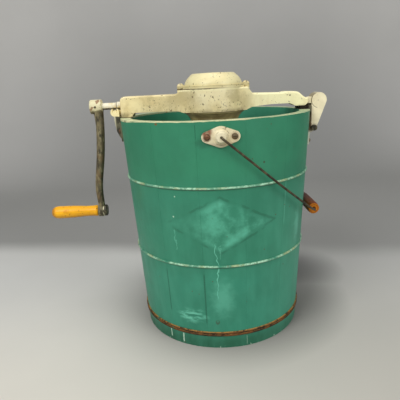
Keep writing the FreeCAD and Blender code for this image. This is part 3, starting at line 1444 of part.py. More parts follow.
def bail_grip():
    """The turned wooden grip on the bail, free to turn on the wire."""
    half = BAIL_GRIP_LENGTH / 2
    body = vec(half - BAIL_GRIP_TAPER, 0, BAIL_GRIP_R)
    edge = vec(half, 0, BAIL_GRIP_END_R - BAIL_GRIP_ROUND)
    shoulder = vec(half - BAIL_GRIP_ROUND, 0, BAIL_GRIP_END_R)
    far = [vec(-p.x, 0, p.z) for p in (edge, shoulder, body)]
    edges = [
        Part.makeLine(vec(-half, 0, 0), far[0]),
        Part.makeLine(far[0], far[1]),
        Part.makeLine(far[1], far[2]),
        Part.makeLine(far[2], body),
        Part.makeLine(body, shoulder),
        Part.makeLine(shoulder, edge),
        Part.makeLine(edge, vec(half, 0, 0)),
        Part.makeLine(vec(half, 0, 0), vec(-half, 0, 0)),
    ]
    solid = upright(Part.Face(Part.Wire(edges)).revolve(ORIGIN, X_AXIS, 360))
    bore = BAIL_WIRE_R + BAIL_HOLE_CLEARANCE
    solid = solid.cut(rod(vec(-half - 1, 0, 0), vec(half + 1, 0, 0), bore))
    solid.rotate(ORIGIN, Z_AXIS, 90)
    solid.translate(bail_point(BAIL_LENGTH, 0))
    return solid


# ---- can ----
def can_body():
    """The can's side: a sheet tube with a rolled bead that stops the lid."""
    inner = CAN_R - CAN_SHEET
    bead_top = CAN_BEAD_Z + CAN_BEAD_HEIGHT
    return turned(
        [
            (inner, CAN_FOOT_Z),
            (CAN_R, CAN_FOOT_Z),
            (CAN_R, CAN_BEAD_Z),
            (CAN_R + CAN_BEAD, CAN_BEAD_Z + CAN_BEAD_HEIGHT / 2),
            (CAN_R, bead_top),
            (CAN_R, CAN_TOP_Z),
            (inner, CAN_TOP_Z),
        ]
    )


def can_bottom():
    """The can's floor, with a pivot socket below and the beater's square socket above."""
    inner = CAN_R - CAN_SHEET
    floor_top = CAN_FLOOR_Z + CAN_FLOOR
    plate_top = BOTTOM_TOP_Z + PIVOT_PLATE
    boss_bottom = plate_top + 2
    pin_top = plate_top + PIVOT_PIN_HEIGHT
    solid = turned(
        [
            (0, boss_bottom),
            (PIVOT_BOSS_R, boss_bottom),
            (PIVOT_BOSS_R, CAN_FLOOR_Z),
            (inner, CAN_FLOOR_Z),
            (inner, floor_top),
            (PIVOT_BOSS_R, floor_top),
            (PIVOT_BOSS_R, floor_top + BEATER_SOCKET),
            (0, floor_top + BEATER_SOCKET),
        ]
    )
    pin_r = PIVOT_PIN_R + LOOSE_CLEARANCE
    solid = solid.cut(Part.makeCylinder(pin_r, pin_top + 0.6 - boss_bottom + 1, vec(0, 0, boss_bottom - 1)))
    return solid.cut(beater_foot())


def beater_foot():
    half = BEATER_SQUARE / 2
    low = CAN_FLOOR_Z + CAN_FLOOR
    return box((-half, -half, low), (half, half, low + BEATER_SOCKET))


def can_lid():
    """The pressed lid, which slips over the can down to its bead."""
    inner = CAN_R + CAN_BEAD + LOOSE_CLEARANCE
    top = LID_TOP_Z
    return turned(
        [
            (LID_HOLE_R, CAN_TOP_Z),
            (CAN_R - LID_RIM_INSET, CAN_TOP_Z),
            (inner, CAN_TOP_Z),
            (inner, top - LID_SKIRT),
            (inner + CAN_SHEET, top - LID_SKIRT),
            (inner + CAN_SHEET, top),
            (LID_HOLE_R, top),
        ]
    )


def lid_driver():
    """The cast crown on the lid, whose lugs the lower gear's notches turn."""
    base = LID_TOP_Z
    crown = ring(DRIVER_INNER_R, DRIVER_R, base, DRIVER_FLANGE_Z)
    foot = ring(DRIVER_INNER_R, DRIVER_R + DRIVER_FOOT_WIDTH, base, base + DRIVER_FOOT)
    sector = ring(DRIVER_INNER_R, DRIVER_R, base, DRIVER_TOP_Z)
    half = DRIVER_LUG_WIDTH / 2
    lugs = []
    for i in range(DRIVER_LUGS):
        slab = box((DRIVER_INNER_R - 2, -half, base), (DRIVER_R + 2, half, DRIVER_TOP_Z))
        slab.rotate(ORIGIN, Z_AXIS, driver_angle(i))
        lugs.append(sector.common(slab))
    return crown.fuse([foot] + lugs).removeSplitter().Solids[0]


def inner_beater():
    """The beater keyed to the can's floor: a post with staggered fingers."""
    foot_top = CAN_FLOOR_Z + CAN_FLOOR + BEATER_SOCKET
    post = Part.makeCylinder(BEATER_POST_R, BEATER_POST_TOP_Z - foot_top, vec(0, 0, foot_top))
    low = DASHER_BOTTOM_Z + DASHER_HUB + BEATER_FINGER_INSET[0]
    step = (BEATER_POST_TOP_Z - BEATER_FINGER_INSET[1] - low) / (BEATER_FINGERS - 1)
    fingers = []
    for i in range(BEATER_FINGERS):
        reach = direction(90 + 90 * i) * BEATER_REACH
        level = vec(0, 0, low + i * step)
        fingers.append(rod(level - reach, level + reach, BEATER_FINGER_R))
    return post.fuse([beater_foot()] + fingers).removeSplitter()


# ---- dasher ----
def dasher_frame():
    """The open frame that carries the scrapers round inside the can."""
    half = DASHER_BAR_WIDTH / 2
    bottom = DASHER_BOTTOM_Z
    top = DASHER_TOP_Z
    bars = []
    for side in (-1, 1):
        xs = sorted((side * DASHER_BAR_INNER_R, side * DASHER_BAR_R))
        bars.append(box((xs[0], -half, bottom), (xs[1], half, top)))
    low_cross = box((-DASHER_BAR_R, -half, bottom), (DASHER_BAR_R, half, bottom + DASHER_CROSS))
    high_cross = box((-DASHER_BAR_R, -half, top - DASHER_CROSS), (DASHER_BAR_R, half, top))
    low_hub = Part.makeCylinder(DASHER_HUB_R, DASHER_HUB, vec(0, 0, bottom))
    high_hub = Part.makeCylinder(DASHER_HUB_R, DASHER_HUB, vec(0, 0, top - DASHER_HUB))
    solid = low_cross.fuse(bars + [high_cross, low_hub, high_hub]).removeSplitter()
    post_r = BEATER_POST_R + LOOSE_CLEARANCE
    solid = solid.cut(Part.makeCylinder(post_r, DASHER_HUB + 2, vec(0, 0, bottom - 1)))
    solid = solid.cut(Part.makeCylinder(STEM_R, DASHER_HUB, vec(0, 0, top - DASHER_HUB + 3)))
    return solid.cut(scraper_pins())


def dasher_stem():
    """The stem from the dasher's top hub to the upper gear, squared at its end."""
    foot = DASHER_TOP_Z - DASHER_HUB + 3
    half = STEM_SQUARE / 2
    stem = Part.makeCylinder(STEM_R, STEM_SQUARE_BOTTOM_Z - foot, vec(0, 0, foot))
    square = box((-half, -half, STEM_SQUARE_BOTTOM_Z - 1), (half, half, STEM_TOP_Z))
    return stem.fuse(square).removeSplitter()


def scraper(side):
    """A wooden scraper: a long board with a bevelled edge near the can's wall."""
    reach = CAN_R - CAN_SHEET - SCRAPER_WALL_GAP
    tip = math.sqrt(reach * reach - (SCRAPER_WIDTH / 2) ** 2)
    half = SCRAPER_WIDTH / 2
    inner = DASHER_BAR_R
    outline = [
        (inner, -half + 6, 0),
        (tip - 6, -half, 0),
        (tip, half - 4, 0),
        (tip - 2, half, 0),
        (inner, half, 0),
    ]
    board = plan_prism(outline, DASHER_BOTTOM_Z + 2, DASHER_TOP_Z - 2)
    if side < 0:
        board.rotate(ORIGIN, Z_AXIS, 180)
    return board.cut(scraper_pins())


def scraper_pins():
    """The pins that hold the scrapers to the dasher's bars."""
    low = DASHER_BOTTOM_Z + SCRAPER_PIN_INSET
    step = (DASHER_TOP_Z - SCRAPER_PIN_INSET - low) / (SCRAPER_PINS - 1)
    start = DASHER_BAR_INNER_R - 1
    end = DASHER_BAR_R + SCRAPER_PIN_BITE
    pins = []
    for side in (-1, 1):
        for i in range(SCRAPER_PINS):
            z = low + i * step
            pins.append(rod(vec(side * start, 0, z), vec(side * end, 0, z), SCRAPER_PIN_R))
    return pins


# ---- output ----
def save(name, shape):
    """Write one sub-part; a list of shapes becomes a group of separate solids."""
    solids = shape if isinstance(shape, list) else [shape]
    solids = [solid for item in solids for solid in item.Solids]
    whole = solids[0] if len(solids) == 1 else Part.makeCompound(solids)
    whole.exportStep("parts/" + name + ".step")
    valid = all(solid.isValid() for solid in solids)
    print(f"{name}: {len(solids)} solids, {whole.Volume / 1000:.2f} cm3, valid {valid}")


def main():
    os.makedirs("parts", exist_ok=True)
    holes = [screw_hole(seat, out) for seat, out in all_screw_seats()] + [drain_hole()]
    for index in range(STAVE_COUNT):
        save(f"stave_{index + 1:02d}", stave(index, holes))
    save("tub_bottom", tub_bottom())
    save("upper_hoop", hoop(UPPER_HOOP_Z))
    save("middle_hoop", hoop(MIDDLE_HOOP_Z))
    save("bottom_hoop", bottom_hoop())
    save("bail_ear_front", bail_ear(0))
    save("bail_ear_rear", bail_ear(180))
    save("bail_ear_screws", [screw(*s) for s in bail_screw_seats(0) + bail_screw_seats(180)])
    save("hinge_ear", hinge_ear())
    save("hinge_ear_screws", [screw(*s) for s in hinge_screw_seats()])
    save("latch_ear", latch_ear())
    save("latch_ear_screws", [screw(*s) for s in latch_screw_seats()])
    save("latch_pin", latch_pin())
    save("can_pivot_plate", can_pivot_plate())
    save("gear_frame", gear_frame())
    save("shaft_bush", shaft_bush())
    save("gear_cover", gear_cover())
    save("cover_screws", cover_screws())
    save("gear_retainer", gear_retainer())
    save("lower_gear", lower_gear())
    save("upper_gear", upper_gear())
    save("crank_shaft", crank_shaft())
    save("drive_pinion", drive_pinion())
    save("pinion_pin", pinion_pin())
    save("crank_arm", crank_arm())
    save("crank_pin", crank_pin())
    save("handle_bolt", handle_bolt())
    save("crank_grip", crank_grip())
    save("latch", latch())
    save("bail_wire", bail_wire())
    save("bail_grip", bail_grip())
    save("can_body", can_body())
    save("can_bottom", can_bottom())
    save("can_lid", can_lid())
    save("lid_driver", lid_driver())
    save("inner_beater", inner_beater())
    save("dasher_frame", dasher_frame())
    save("dasher_stem", dasher_stem())
    save("scraper_left", scraper(-1))
    save("scraper_right", scraper(1))
    save("scraper_pins", scraper_pins())


main()
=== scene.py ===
import math

import bpy
from mathutils import Matrix, Vector


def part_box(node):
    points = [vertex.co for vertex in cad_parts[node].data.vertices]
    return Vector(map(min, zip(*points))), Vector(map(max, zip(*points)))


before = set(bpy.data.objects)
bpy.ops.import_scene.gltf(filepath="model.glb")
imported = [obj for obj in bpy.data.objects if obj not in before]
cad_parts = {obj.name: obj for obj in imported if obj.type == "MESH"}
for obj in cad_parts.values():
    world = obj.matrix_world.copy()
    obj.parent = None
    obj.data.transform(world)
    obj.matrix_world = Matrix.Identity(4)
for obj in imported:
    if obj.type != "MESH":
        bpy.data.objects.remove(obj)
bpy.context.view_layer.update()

# The looks of the hand crank ice cream freezer. The frame's nodes carry all the shapes, and each
# gets a painted, rusty, varnished or bare metal material worked out from its place at rest, in
# metres. An azimuth is measured from -Y, the front, towards +X, the latch's side. A pair of
# numbers is where a soft step starts and where it is complete, except a _PLACE, an X and a Y.

# ---- camera: eye, heading, pitch down and roll in radians, focal length in pixels ----
EYE = Vector((-0.0404, -0.811, 0.4545))
YAW = 0.007
PITCH = 0.267
ROLL = -0.050
FOCAL_PIXELS = 426.2
IMAGE_PIXELS = 400
SENSOR_MM = 36.0


# ---- places that the paint follows, read from the frame ----
def middle(node):
    """The middle of a node's box at rest."""
    low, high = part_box(node)
    return (low + high) / 2


RIM_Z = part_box("stave_01")[1].z
BOTTOM_HOOP_Z = middle("bottom_hoop").z
EAR_Z = middle("bail_ear_front").z
SEAM_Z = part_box("gear_cover")[0].z
SHAFT_Z = middle("crank_shaft").z
BUSH_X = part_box("shaft_bush")[0].x
LATCH_PIN_Z = middle("latch_pin").z
LATCH_HEAD_R = 0.0137
LATCH_HEAD_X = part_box("latch")[1].x - LATCH_HEAD_R
LATCH_HEAD_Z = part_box("latch")[1].z - LATCH_HEAD_R
CRANK_GRIP_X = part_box("crank_grip")[0].x
BAIL_GRIP_X = middle("bail_grip").x
BAIL_GRIP_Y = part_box("bail_grip")[0].y
BAIL_GRIP_Z = middle("bail_grip").z


# ---- helpers ----
COAT_ROUGHNESS = 0.25


def colour(red, green, blue):
    """A linear colour from 0 to 255 sRGB values."""
    linear = []
    for value in (red, green, blue):
        c = value / 255
        linear.append(c / 12.92 if c <= 0.04045 else ((c + 0.055) / 1.055) ** 2.4)
    return (*linear, 1.0)


class Paint:
    """One node material. Each call adds nodes and returns an output socket, or the material."""

    def __init__(self, name):
        self.material = bpy.data.materials.new(name)
        self.material.use_nodes = True
        self.nodes = self.material.node_tree.nodes
        self.links = self.material.node_tree.links
        self.nodes.clear()
        texture = self.nodes.new("ShaderNodeTexCoord")
        self.place = texture.outputs["Object"]
        self.facing = texture.outputs["Normal"]

    def feed(self, socket, value):
        if isinstance(value, bpy.types.NodeSocket):
            self.links.new(value, socket)
        else:
            socket.default_value = value

    # numbers
    def math(self, operation, *values):
        node = self.nodes.new("ShaderNodeMath")
        node.operation = operation
        for socket, value in zip(node.inputs, values):
            self.feed(socket, value)
        return node.outputs[0]

    def add(self, a, b):
        return self.math("ADD", a, b)

    def minus(self, a, b):
        return self.math("SUBTRACT", a, b)

    def times(self, a, b):
        return self.math("MULTIPLY", a, b)

    def away(self, a, b):
        """How far a is from b, without its sign."""
        return self.math("ABSOLUTE", self.minus(a, b))

    def reach(self, u, v):
        """The length of a flat vector."""
        return self.math("SQRT", self.add(self.times(u, u), self.times(v, v)))

    def either(self, first, *others):
        """The strongest of some masks."""
        for other in others:
            first = self.math("MAXIMUM", first, other)
        return first

    def inverse(self, a):
        return self.minus(1.0, a)

    def step(self, value, low, high):
        """A soft step from 0 at low to 1 at high."""
        node = self.nodes.new("ShaderNodeMapRange")
        node.interpolation_type = "SMOOTHSTEP"
        self.feed(node.inputs["Value"], value)
        self.feed(node.inputs["From Min"], low)
        self.feed(node.inputs["From Max"], high)
        return node.outputs["Result"]

    def near(self, value, place, outer, inner):
        """A soft line: 1 where value is within inner of place, 0 from outer on."""
        return self.step(self.away(value, place), outer, inner)

    def blend(self, amount, first, second):
        """A number between first and second."""
        node = self.nodes.new("ShaderNodeMapRange")
        self.feed(node.inputs["Value"], amount)
        self.feed(node.inputs["To Min"], first)
        self.feed(node.inputs["To Max"], second)
        return node.outputs["Result"]

    # vectors
    def split(self, vector):
        node = self.nodes.new("ShaderNodeSeparateXYZ")
        self.feed(node.inputs[0], vector)
        return node.outputs[0], node.outputs[1], node.outputs[2]

    def join(self, x, y, z):
        node = self.nodes.new("ShaderNodeCombineXYZ")
        for socket, value in zip(node.inputs, (x, y, z)):
            self.feed(socket, value)
        return node.outputs[0]

    def vector_math(self, operation, vector, amounts):
        node = self.nodes.new("ShaderNodeVectorMath")
        node.operation = operation
        self.feed(node.inputs[0], vector)
        self.feed(node.inputs[1], amounts)
        return node.outputs[0]

    def stretch(self, vector, factors):
        return self.vector_math("MULTIPLY", vector, factors)

    def shift(self, vector, amounts):
        return self.vector_math("ADD", vector, amounts)

    def up(self):
        """How much the surface faces up, from -1 to 1."""
        return self.split(self.facing)[2]

    # patterns
    def noise(self, scale, detail=3.0, rough=0.55, vector=None, bend=0.0):
        node = self.nodes.new("ShaderNodeTexNoise")
        self.feed(node.inputs["Vector"], self.place if vector is None else vector)
        self.feed(node.inputs["Scale"], scale)
        self.feed(node.inputs["Detail"], detail)
        self.feed(node.inputs["Roughness"], rough)
        self.feed(node.inputs["Distortion"], bend)
        return node.outputs["Fac"]

    def patches(self, scale, low, high, detail=4.0, rough=0.55, vector=None, bend=0.0):
        """Cloudy patches, from 0 where the noise is at low to 1 where it is at high."""
        return self.step(self.noise(scale, detail, rough, vector, bend), low, high)

    def sway(self, width, scale, detail=4.0, vector=None):
        """Noise that goes to both sides of 0."""
        return self.times(self.minus(self.noise(scale, detail, vector=vector), 0.5), width)

    def cells(self, scale, vector=None):
        """Distance to the nearest of many scattered points, in cells."""
        node = self.nodes.new("ShaderNodeTexVoronoi")
        self.feed(node.inputs["Vector"], self.place if vector is None else vector)
        self.feed(node.inputs["Scale"], scale)
        return node.outputs["Distance"]

    def spots(self, scale, size, gather, vector=None):
        """Small scattered spots that gather in patches."""
        near = self.step(self.cells(scale, vector), size, size * 0.6)
        return self.times(near, self.patches(gather, 0.52, 0.60, 3.0, vector=vector))

    def pits(self, scale, level, gather):
        """Small ragged pits that gather in patches."""
        deep = self.patches(scale, level, level + 0.025, 2.0)
        return self.times(deep, self.patches(gather, 0.48, 0.60, 3.0))

    # colours
    def mix(self, amount, first, second):
        node = self.nodes.new("ShaderNodeMix")
        node.data_type = "RGBA"
        self.feed(node.inputs[0], amount)
        self.feed(node.inputs[6], first)
        self.feed(node.inputs[7], second)
        return node.outputs[2]

    def lay(self, base, coat, mask, strength):
        """The base with a coat over it, as strong as the mask times the strength."""
        return self.mix(self.times(mask, strength), base, coat)

    # the shader
    def bump(self, height, depth, strength):
        node = self.nodes.new("ShaderNodeBump")
        self.feed(node.inputs["Height"], height)
        self.feed(node.inputs["Distance"], depth)
        self.feed(node.inputs["Strength"], strength)
        return node.outputs["Normal"]

    def surface(self, base, roughness, normal=None, metallic=0.0, coat=0.0, specular=0.5):
        """The finished material."""
        shader = self.nodes.new("ShaderNodeBsdfPrincipled")
        self.feed(shader.inputs["Base Color"], base)
        self.feed(shader.inputs["Roughness"], roughness)
        self.feed(shader.inputs["Metallic"], metallic)
        self.feed(shader.inputs["Coat Weight"], coat)
        self.feed(shader.inputs["Coat Roughness"], COAT_ROUGHNESS)
        self.feed(shader.inputs["Specular IOR Level"], specular)
        if normal is not None:
            self.links.new(normal, shader.inputs["Normal"])
        output = self.nodes.new("ShaderNodeOutputMaterial")
        self.links.new(shader.outputs[0], output.inputs["Surface"])
        return self.material


WALL_ARC_R = 0.165


class Wall(Paint):
    """A material that knows the tub's wall unrolled: arc along it, and height."""

    def __init__(self, name):
        super().__init__(name)
        self.x, self.y, self.z = self.split(self.place)
        self.azimuth = self.math("ARCTAN2", self.x, self.times(self.y, -1.0))
        self.arc = self.times(self.azimuth, WALL_ARC_R)
        self.unrolled = self.join(self.arc, self.z, 0.0)

    def streaks(self, scale, squash):
        """Noise drawn out up and down the staves."""
        return self.noise(scale, 4.0, vector=self.stretch(self.unrolled, (1.0, squash, 1.0)))

    def mark(self, degrees, low, high, half_width, waver=0.0, waver_scale=60.0):
        """An upright stroke at an azimuth between two heights."""
        middle = math.radians(degrees) * WALL_ARC_R
        line = self.add(self.arc, self.sway(waver, waver_scale, 3.0, self.unrolled))
        across = self.near(line, middle, half_width, half_width * 0.3)
        centre = (low + high) / 2
        half = (high - low) / 2
        along = self.near(self.z, centre, half, half * 0.8)
        return self.times(across, along)

    def blot(self, degrees, height, half_arc, half_height, edge=0.6):
        """A soft oval patch, solid within the share edge of its reach."""
        middle = math.radians(degrees) * WALL_ARC_R
        u = self.times(self.minus(self.arc, middle), 1.0 / half_arc)
        v = self.times(self.minus(self.z, height), 1.0 / half_height)
        return self.step(self.add(self.reach(u, v), self.sway(0.9, 90.0)), 1.0, edge)


# ---- colours that several pieces share ----
GREEN = colour(50, 132, 104)
CREAM = colour(246, 230, 174)
CREAM_DIRTY = colour(214, 194, 138)
CREAM_LIGHT = colour(252, 243, 204)
# Painted light on the gear frame: its paler latch end and a highlight along its lip.
CREAM_PAINTED_LIGHT = colour(255, 249, 198)
RUST = colour(128, 74, 34)
# Dark rust; on the hoop wires' undersides it is also painted shade.
DARK_RUST_AND_SHADE = colour(66, 42, 26)
# Dirt; under the gear frame and beside the latch's head it is painted shade.
GRIME_AND_SHADE = colour(84, 70, 40)
PIT = colour(72, 48, 12)

# ---- the tub ----
GREEN_DARK = colour(34, 98, 74)
GREEN_LIGHT = colour(52, 136, 110)
GREEN_PALE = colour(104, 198, 168)
GREEN_UPPER = colour(50, 134, 100)
GREEN_FOOT = colour(42, 102, 76)
GREEN_DRIP = colour(120, 208, 180)
PAINT_WHITE = colour(196, 226, 202)
RIM_CREAM = colour(224, 222, 176)
RIM_GREENISH = colour(152, 174, 132)

FOOT_Z = (0.010, 0.034)
MIDDLE_Z = (0.120, 0.185)
UPPER_Z = (0.270, 0.330)
STREAKED_Z = (0.300, 0.240)
# Painted light: the wall is painted paler on the latch's side, below the upper hoop.
PAINTED_LIGHT_SIDE_AZIMUTH = (0.20, 0.80)
PAINTED_LIGHT_SIDE_Z = (0.310, 0.260)
SCUFFED_Z = (0.005, 0.001)
# Painted light: the inner wall towards the latch is painted paler.
LIT_INSIDE_OUTWARD = (-0.02, -0.10)
LIT_INSIDE_X = (-0.06, 0.08)

RIM_PAINT_Z = (RIM_Z - 0.0012, RIM_Z - 0.0007)
RIM_RAGGED = 0.00225
RIM_WORN = 0.0007
RIM_WORN_AZIMUTH = (0.20, 0.32)
RIM_THICK = 0.0022
RIM_THICK_AZIMUTH = (-0.75, -1.15)
RIM_GREEN_AZIMUTH = (0.10, 0.35)
RIM_GREEN_Y = (0.0, 0.05)

GHOST_Z = 0.2325
GHOST_AZIMUTH = math.radians(-1.8)
GHOST_HALF_HEIGHT = 0.047
GHOST_HALF_ANGLE = math.radians(31.5)
GHOST_OUTLINE = 1.04
GHOST_INSIDE_REACH = (1.04, 0.80)
GHOST_FADE_AZIMUTH = (-0.42, 0.02)

# Upright strokes: degrees, low and high Z, half width, waver, scale of the waver; strength.
RUNS = (
    ((-4.6, 0.092, 0.204, 0.0011, 0.020, 36.0), 0.85),
    ((-2.4, 0.172, 0.200, 0.0010, 0.018, 70.0), 0.35),
    ((40.0, 0.215, 0.300, 0.0008, 0.002), 0.6),
    ((-29.5, 0.185, 0.225, 0.0018, 0.012, 90.0), 0.4),
)
FOOT_DRIPS = (
    (-41.0, 0.006, 0.024, 0.0016, 0.003),
    (-30.6, 0.003, 0.023, 0.0022, 0.004),
)
FAINT_DRIP = (13.6, 0.002, 0.022, 0.0010, 0.004)
LOW_JOINTS = ((-12.86, 0.044, 0.150, 0.0024), (-38.57, 0.060, 0.150, 0.0020))
HIGH_JOINT = (-12.86, 0.372, 0.396, 0.0011)

# Soft ovals: degrees, Z, half their arc, half their height, edge; for BLOOMS also strength.
SMEAR = (-23, 0.063, 0.040, 0.017, 0.2)
BLOOMS = (((-2, 0.100, 0.030, 0.050, 0.1), 0.40), ((56, 0.205, 0.016, 0.045, 0.1), 0.5))
# A painted shadow below the left side of the front bail ear.
EAR_PAINTED_SHADOW = (-8.5, 0.366, 0.020, 0.010, 0.3)
KNOT = (-5.7, 0.052, 0.0050, 0.0062, 0.5)
KNOT_HOLLOW = (-5.7, 0.054, 0.0024, 0.0026)
HIGH_KNOT = (23.4, 0.3315, 0.0022, 0.0022)
FLECKS = ((-27.3, 0.281, 0.0016, 0.0016), (-29.3, 0.246, 0.0016, 0.0018))
RIM_CHIP = (-34.6, 0.3965, 0.0030, 0.0022, 0.7)


def ghost_masks(wall):
    """The painted-over diamond: how much of its inside and of its outline shows."""
    side = wall.times(wall.away(wall.azimuth, GHOST_AZIMUTH), 1.0 / GHOST_HALF_ANGLE)
    rise = wall.times(wall.away(wall.z, GHOST_Z), 1.0 / GHOST_HALF_HEIGHT)
    reach = wall.add(wall.add(side, rise), wall.sway(0.16, 55.0, 3.0))
    fade = wall.blend(wall.step(wall.azimuth, *GHOST_FADE_AZIMUTH), 0.30, 1.0)
    cloud = wall.patches(30.0, 0.34, 0.66, 5.0, 0.62)
    inside = wall.times(wall.step(reach, *GHOST_INSIDE_REACH), wall.times(fade, cloud))
    line = wall.near(reach, GHOST_OUTLINE, 0.075, 0.02)
    return inside, wall.times(line, wall.patches(48.0, 0.40, 0.58))


def drips_and_smears(wall):
    """Pale runs and smears that lie on the green."""
    brushed = wall.stretch(wall.unrolled, (0.3, 1.0, 1.0))
    smear = wall.times(wall.blot(*SMEAR), wall.patches(130.0, 0.42, 0.58, vector=brushed))
    blooms = [wall.times(wall.blot(*oval), strength) for oval, strength in BLOOMS]
    runs = [wall.times(wall.mark(*stroke), strength) for stroke, strength in RUNS]
    return wall.either(smear, *blooms, *runs)


def joint_lines(wall):
    """Where the joints between staves still show through the paint."""
    low = [wall.mark(*stroke) for stroke in LOW_JOINTS]
    return wall.either(wall.times(wall.mark(*HIGH_JOINT), 0.8), *low)


def foot_drips(wall):
    """White runs and scuffs below the bottom hoop."""
    drips = [wall.mark(*stroke) for stroke in FOOT_DRIPS]
    faint = wall.times(wall.mark(*FAINT_DRIP), 0.35)
    scuffed = wall.step(wall.streaks(180.0, 0.5), 0.60, 0.68)
    return wall.either(faint, wall.times(wall.step(wall.z, *SCUFFED_Z), scuffed), *drips)


def knots(wall):
    """A knot above the bottom hoop and a small one under the rim."""
    hollow = wall.inverse(wall.times(wall.blot(*KNOT_HOLLOW), 0.8))
    low = wall.times(wall.times(wall.blot(*KNOT), hollow), 0.55)
    return wall.either(low, wall.times(wall.blot(*HIGH_KNOT), 0.7))


def tub_green(wall):
    """The green by height, cloudy and streaked, with painted light on the latch's side and inside.
    """
    base = wall.mix(wall.step(wall.z, *FOOT_Z), GREEN_FOOT, GREEN_LIGHT)
    base = wall.mix(wall.step(wall.z, *MIDDLE_Z), base, GREEN)
    base = wall.mix(wall.step(wall.z, *UPPER_Z), base, GREEN_UPPER)
    cloud = wall.patches(13.0, 0.36, 0.64, rough=0.6)
    base = wall.lay(base, GREEN_DARK, wall.inverse(cloud), 0.28)
    streaked = wall.step(wall.streaks(46.0, 0.30), 0.34, 0.72)
    strength = wall.blend(wall.step(wall.z, *STREAKED_Z), 0.03, 0.11)
    base = wall.lay(base, GREEN_PALE, streaked, strength)
    # painted light: the latch's side of the wall is painted paler below the upper hoop
    painted_light_side = wall.times(wall.step(wall.azimuth, *PAINTED_LIGHT_SIDE_AZIMUTH), wall.step(wall.z, *PAINTED_LIGHT_SIDE_Z))
    base = wall.lay(base, GREEN_PALE, painted_light_side, 0.12)
    # painted light: the inner wall towards the latch is painted paler, lifting its shade
    facing_x, facing_y, _ = wall.split(wall.facing)
    outward = wall.add(wall.times(facing_x, wall.x), wall.times(facing_y, wall.y))
    inside = wall.times(wall.step(outward, *LIT_INSIDE_OUTWARD), wall.step(wall.x, *LIT_INSIDE_X))
    return wall.lay(base, GREEN_PALE, inside, 0.24)


def cream_rim(wall, base):
    """Cream over the rim down to a ragged edge, greenish in part, and chipped."""
    worn = wall.times(wall.step(wall.azimuth, *RIM_WORN_AZIMUTH), RIM_WORN)
    thick = wall.times(wall.step(wall.azimuth, *RIM_THICK_AZIMUTH), RIM_THICK)
    ragged = wall.add(wall.z, wall.sway(RIM_RAGGED, 70.0))
    rim = wall.step(wall.add(wall.minus(ragged, worn), thick), *RIM_PAINT_Z)
    side = wall.step(wall.azimuth, *RIM_GREEN_AZIMUTH)
    side = wall.times(wall.either(side, wall.step(wall.y, *RIM_GREEN_Y)), 0.75)
    greenish = wall.either(wall.patches(45.0, 0.40, 0.66), side)
    base = wall.mix(rim, base, wall.mix(greenish, RIM_CREAM, RIM_GREENISH))
    chipped = wall.times(rim, wall.patches(85.0, 0.63, 0.66, 3.0))
    return wall.lay(base, RUST, wall.either(chipped, wall.blot(*RIM_CHIP)), 0.85)


def tub_paint():
    """Satin green over oak staves, a cream rim, the traces of long use, and a painted shadow under
    the front bail ear.
    """
    wall = Wall("tub_paint")
    inside, outline = ghost_masks(wall)
    base = wall.lay(tub_green(wall), GREEN_PALE, inside, 0.60)
    base = wall.lay(base, GREEN_DARK, outline, 0.5)
    base = wall.lay(base, GREEN_DRIP, drips_and_smears(wall), 0.8)
    base = wall.lay(base, PAINT_WHITE, foot_drips(wall), 0.9)
    base = wall.lay(base, GREEN_DARK, joint_lines(wall), 0.6)
    # painted shadow below the left side of the front bail ear
    base = wall.lay(base, GREEN_DARK, wall.blot(*EAR_PAINTED_SHADOW), 0.6)
    base = wall.lay(base, GRIME_AND_SHADE, wall.spots(70.0, 0.10, 30.0, wall.unrolled), 0.8)
    base = wall.mix(knots(wall), base, DARK_RUST_AND_SHADE)
    flecks = [wall.blot(*oval) for oval in FLECKS]
    base = wall.lay(base, PAINT_WHITE, wall.either(*flecks), 0.8)
    base = cream_rim(wall, base)
    height = wall.add(wall.times(wall.streaks(120.0, 0.14), 0.25), wall.noise(42.0))
    gloss = wall.blend(wall.noise(24.0), 0.36, 0.56)
    return wall.surface(base, gloss, wall.bump(height, 0.00045, 0.45), specular=0.35)


# ---- hoops ----
WIRE_WORN = colour(108, 160, 126)
WIRE_PALE = colour(172, 218, 186)
WIRE_GOLD = colour(168, 172, 118)
HOOP_DARK = colour(42, 30, 15)
HOOP_RUST = colour(108, 68, 30)
HOOP_GOLD_AND_HIGHLIGHT = colour(172, 128, 62)
UPPER_WIRE_Z = (BOTTOM_HOOP_Z - 0.001, BOTTOM_HOOP_Z + 0.001)
# On the green hoops the top of a wire is worn and painted with a highlight, its underside rusty
# and painted with shade.
CROWN_WEAR_AND_HIGHLIGHT_UP = (-0.70, 0.10)
BELOW_RUST_AND_SHADE_UP = (-0.20, -0.75)
# On the bottom hoop the tops of the wires carry gold rust and a painted highlight.
RUST_AND_HIGHLIGHT_UP = (0.30, 0.85)


